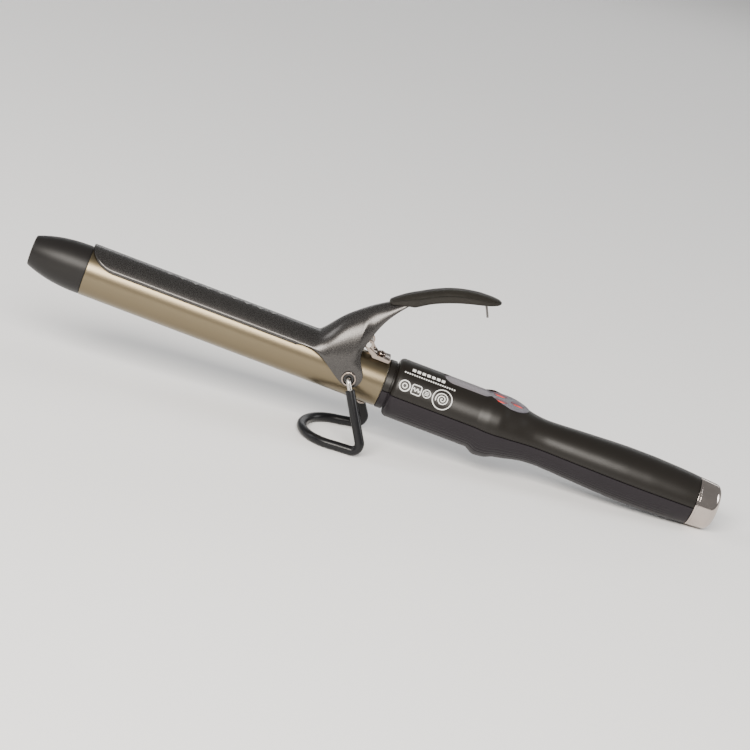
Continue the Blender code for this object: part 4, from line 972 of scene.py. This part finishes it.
keep(make_bracket(), "iron", "chrome", "spring_bracket")

head = EAR_HALF + 0.1 * MM + GAP
end = head + 0.7 * MM
half_pin = [(head, 0.9 * MM, 0), (head, 1.7 * MM, 0.1 * MM), (end, 1.6 * MM, 0.35 * MM), (end, 0.0, 0)]
pin = [(-x, r, bend) for x, r, bend in reversed(half_pin)] + half_pin
keep(laid(turned("spring_pin_skin", pin, [BARE_STEEL], 48, False), (PIN_X, 0, PIN_Z), (0, 1, 0)),
     "iron", "steel", "spring_pin")

SPRING_WIRE = 0.4 * MM
COIL_RADIUS = 2 * MM
COIL_TURNS, COIL_STEPS = 4, 160

coil_half = COIL_TURNS * 0.52 * MM
coil = [Vector((PIN_X + 4.4 * MM, -coil_half, PIN_Z - COIL_RADIUS))]
turn = 2 * pi * COIL_TURNS + radians(200)
for i in range(COIL_STEPS + 1):
    angle = -pi / 2 + turn * i / COIL_STEPS
    coil.append(Vector((PIN_X + COIL_RADIUS * cos(angle), -coil_half + 2 * coil_half * i / COIL_STEPS,
                        PIN_Z + COIL_RADIUS * sin(angle))))
leg = [coil[-1], Vector((-17.8 * MM, coil_half, 35.3 * MM))]
keep(swept("spring_skin", coil, SPRING_WIRE, 12, BARE_STEEL), "iron", "steel", "clamp_spring")
spring_leg = keep(swept("spring_leg", leg, SPRING_WIRE, 12, BARE_STEEL), "iron", "steel")
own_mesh(spring_leg)


# %% Screws
def pan_screw(name, place, axis, length, material, cross):
    """A screw with a domed head whose seat is at place; axis points out of the head."""
    profile = [(-length, 0.0, 0), (-length, 0.9 * MM, 0), (-length + 1 * MM, 1.2 * MM, 0), (0.0, 1.2 * MM, 0),
               (0.0, 2.5 * MM, 0.2 * MM), (0.75 * MM, 2.5 * MM, 0.5 * MM), (1.5 * MM, 1.4 * MM, 0.6 * MM),
               (1.6 * MM, 0.0, 0)]
    item = turned(name, profile, [material], 48, False)
    for step in range(2 if cross else 1):
        slot = box_mesh("slot", (1.0 * MM, -3 * MM, -0.32 * MM), (2 * MM, 3 * MM, 0.32 * MM))
        if cross:
            slot.data.transform(Matrix.Diagonal((1.0, 0.5, 1.0, 1.0)))
        slot.data.transform(Matrix.Rotation(pi / 2 * step + 0.5, 4, "X"))
        item = carve(item, slot)
    return laid(item, place, axis)


def box_mesh(name, low, high, materials=()):
    (x0, y0, z0), (x1, y1, z1) = low, high
    rings = [[(x0, y0, z), (x1, y0, z), (x1, y1, z), (x0, y1, z)] for z in (z0, z1)]
    return skin(name, rings, list(materials))


seat = PLATE_Z + PLATE + GAP
keep(pan_screw("bracket_screw_skin", (-6 * MM, 0, seat), (0, 0, 1), seat - 9 * MM, CHROME_PAINTED_DARK, False),
     "iron", "chrome", "bracket_screw")
keep(pan_screw("barrel_screw_skin", (-7 * MM, 0, -PLATE_Z), (0, 0, -1), PLATE_Z - 9 * MM, CHROME_PAINTED_DARK, True),
     "iron", "chrome", "barrel_screw")

# %% [markdown]
# ## The handle's two shells
#
# The handle is two moulded half shells that meet at mid height. Their outline swells under the
# buttons, narrows to a waist and swells again for the palm. The shells are lofts through half
# round sections. A small chamfer along the seam makes the dark parting line, and the lower shell
# has shallow grooves that follow its length.

# %% Sections of the handle
HANDLE_RADIUS = 16.1 * MM
HANDLE_END = 176.0 * MM
SHELL_WALL = 2.2 * MM
SEAM = GAP / 2

# Place along the handle, radius at the side, and depth below the axis, in millimetres.
SWELL = [
    (7.4, 16.1, 16.1), (30, 16.1, 16.1), (52.8, 16.12, 16.1), (53.9, 16.5, 16.6), (58, 17.3, 18.6),
    (63, 17.2, 18.1), (68, 16.1, 16.2), (73.5, 15.0, 15.0), (79, 13.6, 13.7), (84.6, 12.7, 12.8),
    (90.1, 12.4, 12.5), (96.7, 12.65, 12.7), (105.7, 13.2, 13.2), (116.3, 13.75, 13.75),
    (126.9, 14.3, 14.3), (137.4, 14.6, 14.6), (148, 14.6, 14.6), (158.6, 14.25, 14.25),
    (169.2, 13.75, 13.75), (176, 13.2, 13.2),
]
SIDES = [(x * MM, side * MM) for x, side, _ in SWELL]
DEPTHS = [(x * MM, depth * MM) for x, _, depth in SWELL]
GROOVES = [radians(angle) for angle in (19, 27, 35, 43)]
GROOVE_DEPTH = 0.16 * MM


def outer_sections():
    """Place, side radius and depth all along the outside, neck first."""
    neck = [(0.3, 12.95), (0.55, 13.2), (3.7, 13.2), (4.0, 13.0), (4.15, 12.4), (4.75, 12.4), (4.85, 13.6)]
    neck += [(5.0, 14.3), (5.3, 14.95), (5.7, 15.4), (6.2, 15.75), (6.8, 15.98)]
    rows = [(x * MM, r * MM, r * MM) for x, r in neck]
    steps = 190
    for i in range(steps + 1):
        x = 7.4 * MM + (HANDLE_END - 0.15 * MM - 7.4 * MM) * i / steps
        rows.append((x, curve_through(SIDES, x), curve_through(DEPTHS, x)))
    end = 13.2 * MM - 0.15 * MM
    rows += [(HANDLE_END, end, end), (HANDLE_END + 0.02 * MM, 11.3 * MM, 11.3 * MM)]
    rows.append((HANDLE_END + 5.5 * MM, 11.3 * MM, 11.3 * MM))
    return rows


def shell_ring(x, side, depth, way):
    """A half round section with chamfered seam edges; way is 1 above and -1 below."""
    height = side if way > 0 else depth
    wall = SHELL_WALL if 7 * MM < x < HANDLE_END - 6 * MM else 2.0 * MM
    angles = [pi * i / 72 for i in range(73)]
    if way < 0:
        for groove in GROOVES:
            for step in (-1.5, -0.75, 0.0, 0.75, 1.5):
                angles += [groove + radians(step), pi - groove - radians(step)]
        angles.sort()
    run = smooth_step(x, 11 * MM, 14 * MM) * (1 - smooth_step(x, 160 * MM, 168 * MM))
    row = [(x, side - wall, SEAM), (x, side - 0.35 * MM, SEAM)]
    for angle in angles:
        dent = 0.0
        if way < 0:
            near = min(abs(min(angle, pi - angle) - groove) for groove in GROOVES)
            dent = GROOVE_DEPTH * run * max(0.0, 1 - near / radians(1.6))
        y, z = (side - dent) * cos(angle), (height - dent) * sin(angle)
        if z > 0.3 * MM:
            row.append((x, y, z))
        elif abs(abs(y) - side) < 0.02 * MM and angle in (angles[0], angles[-1]):
            row.append((x, y, SEAM + 0.18 * MM))
    row += [(x, -side + 0.35 * MM, SEAM), (x, -side + wall, SEAM)]
    for i in range(23, 0, -1):
        angle = pi * i / 24
        z = max(SEAM, (height - wall) * sin(angle))
        row.append((x, (side - wall) * cos(angle), min(z, 11.8 * MM) if way > 0 else z))
    return [(px, py, way * pz) for px, py, pz in row]


# %% Panel outline
PANEL_FRONT, PANEL_NECK, PANEL_BACK = 29.0 * MM, 53.0 * MM, 77.5 * MM
STRIP_HALF, OVAL_HALF = 5.8 * MM, 8.6 * MM
PANEL_TOP_Z = 15.05 * MM
PANEL_THICKNESS = 1.2 * MM
BUTTONS = (("plus", 61.0 * MM, 4.6 * MM), ("minus", 61.0 * MM, -4.6 * MM), ("power", 70.5 * MM, 0.0))


def panel_half(x):
    """Half the panel's width: a strip with a round front that opens into an oval."""
    if x < PANEL_NECK:
        run = min(max((x - PANEL_FRONT) / STRIP_HALF, 0.0), 1.0)
        return STRIP_HALF * sqrt(max(1 - (1 - run) ** 2, 0.01))
    centre, reach = (PANEL_NECK + PANEL_BACK) / 2, (PANEL_BACK - PANEL_NECK) / 2
    oval = OVAL_HALF * sqrt(max(1 - ((x - centre) / reach) ** 2, 0.01))
    return max(oval, STRIP_HALF * (1 - smooth_step(x, PANEL_NECK, centre)))


def panel_top(x):
    return PANEL_TOP_Z - 0.95 * MM * smooth_step(x, 65 * MM, PANEL_BACK + 3 * MM)


def panel_places():
    places = [PANEL_FRONT + STRIP_HALF * (1 - cos(pi / 2 * i / 14)) for i in range(15)]
    straight = PANEL_NECK - PANEL_FRONT - STRIP_HALF
    places += [PANEL_FRONT + STRIP_HALF + straight * i / 6 for i in range(1, 6)]
    middle, reach = (PANEL_NECK + PANEL_BACK) / 2, (PANEL_BACK - PANEL_NECK) / 2
    places += [middle - reach * cos(pi * i / 48) for i in range(49)]
    return places


def panel_block(name, materials, grow, low, high):
    rings = []
    places = panel_places()
    for i, x in enumerate(places):
        half = panel_half(x) + grow
        end = -grow if i == 0 else grow if i == len(places) - 1 else 0.0
        top = panel_top(x)
        rings.append([(x + end, -half, top + low), (x + end, half, top + low), (x + end, half, top + high),
                      (x + end, -half, top + high)])
    return skin(name, rings, materials)


def oval_block(name, centre, levels, materials, sides=72):
    rings = []
    for z, along, across in levels:
        rings.append([(centre[0] + along * cos(a), centre[1] + across * sin(a), z)
                      for a in (2 * pi * i / sides for i in range(sides))])
    return skin(name, rings, materials)


# %% Shells, panel and buttons
upper = skin("upper_shell", [shell_ring(*row, 1) for row in outer_sections()], [UPPER_PLASTIC])
upper = carve(upper, panel_block("pocket", [], 0.18 * MM, -PANEL_THICKNESS - GAP, 4 * MM))
for word, x, y in BUTTONS:
    hole = [(9 * MM, 4.3 * MM, 2.8 * MM), (17 * MM, 4.3 * MM, 2.8 * MM)]
    upper = carve(upper, oval_block("hole", (x, y), hole, []))
keep(upper, "iron", "dark_shell", "handle_upper")

lower = skin("lower_shell", [shell_ring(*row, -1) for row in outer_sections()], [LOWER_PLASTIC])
for x in (96 * MM, 150 * MM):
    depth = curve_through(DEPTHS, x)
    lower = carve(lower, rod("hole", (x, 0, -depth - 3 * MM), (x, 0, -depth + 1.0 * MM), 2.8 * MM))
keep(lower, "iron", "plum_shell", "handle_lower")

panel = panel_block("panel_skin", [PANEL], 0.0, -PANEL_THICKNESS, 0.0)
for word, x, y in BUTTONS:
    window = [(10 * MM, 4.0 * MM, 2.5 * MM), (17 * MM, 4.0 * MM, 2.5 * MM)]
    panel = carve(panel, oval_block("window", (x, y), window, []))
keep(soften(panel, 0.16 * MM, 2), "iron", "mauve_plastic", "control_panel")

# Height, or depth under the crown, and the half width along and across, in millimetres.
KEY_STEM = [(8.9, 1.4, 1.4), (10.6, 1.4, 1.4), (10.6, 4.8, 3.3), (11.5, 4.8, 3.3), (11.5, 3.7, 2.2)]
KEY_CROWN = [(0.3, 3.7, 2.2), (0.1, 3.62, 2.12), (0.02, 3.4, 1.95), (0.0, 2.6, 1.4)]

for word, x, y in BUTTONS:
    top = panel_top(x) - 0.9 * MM
    levels = [(z * MM, along * MM, across * MM) for z, along, across in KEY_STEM]
    levels += [(top - fall * MM, along * MM, across * MM) for fall, along, across in KEY_CROWN]
    key = oval_block("key_" + word, (x, y), levels, [RED_PAINTED_GLOW])
    keep(key, word + "_key", "red_plastic", "button_" + word)


# %% Marks on the buttons
def bar(name, x, y, z, length, width):
    low = (x - length / 2, y - width / 2, z)
    return box_mesh(name, low, (x + length / 2, y + width / 2, z + 0.06 * MM), [MARK])


for word, x, y in BUTTONS:
    top = panel_top(x) - 0.93 * MM
    if word == "power":
        path = [Vector((x + 0.95 * MM * cos(a), y + 0.95 * MM * sin(a), top))
                for a in (radians(40 + 280 * i / 32) for i in range(33))]
        mark = swept("mark_power", path, 0.14 * MM, 8, MARK)
        mark = carve(mark, bar("bar", x + 0.9 * MM, y, top, 1.1 * MM, 0.28 * MM), "UNION")
    else:
        mark = bar("mark_" + word, x, y, top, 0.32 * MM, 1.9 * MM)
        if word == "plus":
            mark = carve(mark, bar("bar", x, y, top - 0.01 * MM, 1.9 * MM, 0.32 * MM), "UNION")
    keep(mark, word + "_key", "black_plastic")

# %% [markdown]
# ## End cap and cord swivel
#
# The chrome cap is a turned cup with a fine bead at its front and a broad rounding at its rim. The
# swivel's face sits inside it, with a bore for the cord.

# %% Cap and swivel
CAP_FRONT, CAP_BACK = HANDLE_END + GAP, 189.2 * MM
CAP_RIM = CAP_BACK - 0.05 * MM
cup = [
    (CAP_FRONT, 11.6 * MM, 0), (CAP_FRONT, 13.2 * MM, 0.25 * MM),
    (CAP_FRONT + 1.1 * MM, 13.2 * MM, 0.15 * MM),
    (CAP_FRONT + 1.25 * MM, 13.02 * MM, 0.05 * MM), (CAP_FRONT + 1.45 * MM, 13.02 * MM, 0.05 * MM),
    (CAP_FRONT + 1.6 * MM, 13.15 * MM, 0.15 * MM), (CAP_RIM, 12.42 * MM, 4.0 * MM),
    (CAP_RIM, 7.3 * MM, 0.2 * MM), (CAP_BACK - 1.6 * MM, 7.3 * MM, 0.1 * MM),
    (CAP_BACK - 1.6 * MM, 9.1 * MM, 0), (CAP_BACK - 4.1 * MM, 11.6 * MM, 0),
]
keep(turned("cap_skin", cup, [CHROME], 160, steps=14), "iron", "chrome", "end_cap")

core = [
    (160 * MM, 3.5 * MM, 0), (160 * MM, 4.4 * MM, 0.1 * MM), (185.3 * MM, 4.4 * MM, 0),
    (185.3 * MM, 8.6 * MM, 0.1 * MM), (187.3 * MM, 8.6 * MM, 0.1 * MM), (187.3 * MM, 7.0 * MM, 0.1 * MM),
    (CAP_RIM, 7.0 * MM, 0.25 * MM), (CAP_RIM, 6.0 * MM, 0.1 * MM), (CAP_BACK - 0.5 * MM, 5.7 * MM, 0.1 * MM),
    (CAP_BACK - 0.5 * MM, 5.2 * MM, 0.1 * MM), (CAP_RIM, 4.9 * MM, 0.1 * MM), (CAP_RIM, 3.5 * MM, 0.4 * MM),
]
keep(turned("swivel_skin", core, [BLACK_PLASTIC], 96), "cord_swivel", "black_plastic", "swivel_core")

# %% [markdown]
# ## Printed marks
#
# The side of the handle carries a small white print. Here it is generic: a row of bars, a row of
# dots, and four plain figures. Print is ink, about as thick as a hair, so each mark is a thin slab
# that is laid flat, repeated by the row tree, and rolled onto the shell just proud of it.

# %% The print
PRINT_LOW, PRINT_HIGH = 0.02 * MM, 0.09 * MM


def on_side(item):
    """Lay a flat mark, drawn in x and height along the arc, onto the near side of the handle."""
    for vertex in item.data.vertices:
        x, arc, lift = vertex.co
        radius = HANDLE_RADIUS + lift
        vertex.co = (x, -radius * cos(arc / HANDLE_RADIUS), radius * sin(arc / HANDLE_RADIUS))
    outward(item.data)
    return item


def ribbon(name, points, width, loop):
    """A flat line of even width through points in x and arc."""
    last = len(points)
    rings = []
    for i, (x, y) in enumerate(points):
        before = points[i - 1] if loop or i > 0 else points[0]
        after = points[(i + 1) % last] if loop or i < last - 1 else points[-1]
        along = Vector((after[0] - before[0], after[1] - before[1])).normalized() * width / 2
        rings.append([(x - along.y, y + along.x, PRINT_LOW), (x + along.y, y - along.x, PRINT_LOW),
                      (x + along.y, y - along.x, PRINT_HIGH), (x - along.y, y + along.x, PRINT_HIGH)])
    return skin(name, rings, [PRINT], closed=loop)


def circle(x, y, radius, count=48):
    angles = [2 * pi * i / count for i in range(count)]
    return [(x + radius * cos(angle), y + radius * sin(angle)) for angle in angles]


def rounded_square(x, y, half, corner):
    path = [(x, y - half, 0), (x + half, y - half, corner), (x + half, y + half, corner),
            (x - half, y + half, corner), (x - half, y - half, corner), (x - 0.01 * MM, y - half, 0)]
    return [(point.x, point.y) for point in rounded(path, 4)]


def spiral(x, y, radius, turns, count=90):
    return [(x + radius * (i / count) * cos(2 * pi * turns * i / count),
             y + radius * (i / count) * sin(2 * pi * turns * i / count)) for i in range(6, count)]


def tile(name, width, height):
    rings = [[(-width / 2, -height / 2, z), (width / 2, -height / 2, z), (width / 2, height / 2, z),
              (-width / 2, height / 2, z)] for z in (PRINT_LOW, PRINT_HIGH)]
    return skin(name, rings, [PRINT])


def print_row(name, width, height, count, first, step):
    values = {"Count": count, "First": first, "Step": step, "Finish": PRINT}
    return apply_tree(tile(name, width, height), ROW_OF_MARKS, values)


marks = [
    print_row("print_bars", 1.9 * MM, 1.9 * MM, 7, (12.9 * MM, 18.0 * MM, 0), (2.7 * MM, 0, 0)),
    print_row("print_dots", 0.8 * MM, 0.8 * MM, 22, (8.6 * MM, 15.0 * MM, 0), (1.3 * MM, 0, 0)),
    ribbon("print_arc_outer", circle(10.5 * MM, 7.6 * MM, 2.8 * MM), 0.6 * MM, True),
    ribbon("print_arc_inner", circle(10.5 * MM, 7.6 * MM, 1.2 * MM), 0.5 * MM, True),
    ribbon("print_square", rounded_square(17.0 * MM, 7.5 * MM, 2.5 * MM, 0.8 * MM), 0.5 * MM, True),
    ribbon("print_wave", [(15.2 * MM + 3.6 * MM * i / 30, 7.5 * MM + 0.8 * MM * sin(2 * pi * i / 15))
                          for i in range(31)], 0.45 * MM, False),
    ribbon("print_ring_small", circle(22.7 * MM, 7.5 * MM, 2.1 * MM), 0.4 * MM, True),
    print_row("print_lines", 2.2 * MM, 0.35 * MM, 3, (22.7 * MM, 6.7 * MM, 0), (0, 0.8 * MM, 0)),
    ribbon("print_ring_large", circle(31.3 * MM, 7.6 * MM, 5.2 * MM, 72), 0.5 * MM, True),
    ribbon("print_curl", spiral(31.3 * MM, 7.6 * MM, 3.6 * MM, 2.6), 0.5 * MM, False),
]
for mark in marks:
    keep(on_side(mark), "iron", "dark_shell")

# %% [markdown]
# ## Pieces that keep their shape
#
# The inner pieces are right as the frame has them: the heater, the board and its parts, the swivel's
# rings. They only need a finish, which goes into their material slots and leaves their mesh alone.

# %% Finishes for the inner pieces
INNER = {
    ALUMINIUM: ("heat_spreader_upper", "heat_spreader_lower"),
    CERAMIC: ("heater_plate", "barrel_socket"),
    GLASS_BEAD: ("thermistor",),
    BARE_STEEL: ("thermal_fuse", "shell_screw_96", "shell_screw_150", "board_screw_31", "board_screw_49",
                 "swivel_retainer"),
    LEAD: ("heater_lead_left", "heater_lead_right"),
    BOARD: ("circuit_board",),
    BLACK_PLASTIC: ("switch_plus", "switch_minus", "switch_power", "power_triac"),
    YELLOW: ("filter_capacitor",),
    BRASS: ("slip_ring_front", "slip_ring_rear", "brush_contact_front", "brush_contact_rear"),
}
for material, names in INNER.items():
    for name in names:
        item = frame["nodes"][name]
        item.data.materials.clear()
        item.data.materials.append(material)
print("inner pieces finished:", sum(len(names) for names in INNER.values()))

# %% [markdown]
# ## Floor, light and camera
#
# A pale floor and big soft lights suit a small glossy object: what a metal shows is the room, so
# the lights are broad. The warm box in front draws the long highlight along the barrel, the boxes
# at the ends light the tip and the cap, and a weak strip behind parts the iron from the floor. The
# camera is far away with a long lens, a little above the iron, and rolled.

# %% Floor and light
def add_floor():
    bpy.ops.mesh.primitive_plane_add(size=16.0)
    floor = bpy.context.object
    floor.name = "floor"
    def draw(sheet):
        clouds = sheet.node("ShaderNodeTexNoise", None, {"Scale": 2.0})
        return {"Roughness": 0.55 + 0.1 * clouds}
    floor.data.materials.append(finish("pale_floor", draw, Base_Color=(0.95, 0.95, 0.95, 1.0)))


def add_light(name, place, aim, size, power, colour=(1.0, 1.0, 1.0)):
    light = bpy.data.lights.new(name, "AREA")
    light.shape = "RECTANGLE"
    light.size, light.size_y = size
    light.energy = power
    light.color = colour
    item = bpy.data.objects.new(name, light)
    item.location = place
    item.rotation_euler = (Vector(aim) - Vector(place)).to_track_quat("-Z", "Y").to_euler()
    bpy.context.scene.collection.objects.link(item)


add_floor()
world = bpy.data.worlds.new("studio")
world.use_nodes = True
world.node_tree.nodes["Background"].inputs[0].default_value = (1.0, 1.0, 1.0, 1.0)
world.node_tree.nodes["Background"].inputs[1].default_value = 0.34
bpy.context.scene.world = world
add_light("left_box", (-1.7, 0.1, 0.9), (0.0, 0.0, 0.0), (0.8, 0.8), 12.0)
add_light("right_box", (1.8, 0.1, 0.9), (0.0, 0.0, 0.0), (0.8, 0.8), 16.0)
add_light("front_box", (-0.3, -1.5, 1.15), (0.0, 0.0, 0.05), (1.6, 0.7), 78.0, (1.0, 0.95, 0.88))
add_light("back_strip", (0.2, 1.9, 0.7), (0.0, 0.0, 0.05), (2.0, 0.2), 4.0)


# %% Camera
CAMERA_REACH = 1.30
CAMERA_RISE = radians(17.5)
CAMERA_STATION_X = -99.5 * MM
CAMERA_AIM = Vector((-4.9 * MM, 0.0, 2.4 * MM))
AXIS_SLOPE = radians(20.78)
LENS = 119.2


def add_camera():
    """A camera that shows the iron's axis falling to the right by the chosen slope."""
    aim = IRON @ CAMERA_AIM
    level = Vector((CAMERA_STATION_X, -CAMERA_REACH * cos(CAMERA_RISE),
                    CAMERA_REACH * sin(CAMERA_RISE) + CAMERA_AIM.z))
    place = IRON @ level
    look = (aim - place).normalized()
    along = ALONG - look * ALONG.dot(look)
    along.normalize()
    right = Matrix.Rotation(-AXIS_SLOPE, 3, look) @ along
    up = right.cross(look)
    data = bpy.data.cameras.new("camera")
    data.lens = LENS
    data.clip_start = 0.01
    item = bpy.data.objects.new("camera", data)
    turn = Matrix((right, up, -look)).transposed()
    item.matrix_world = Matrix.Translation(place) @ turn.to_4x4()
    bpy.context.scene.collection.objects.link(item)
    bpy.context.scene.camera = item


add_camera()
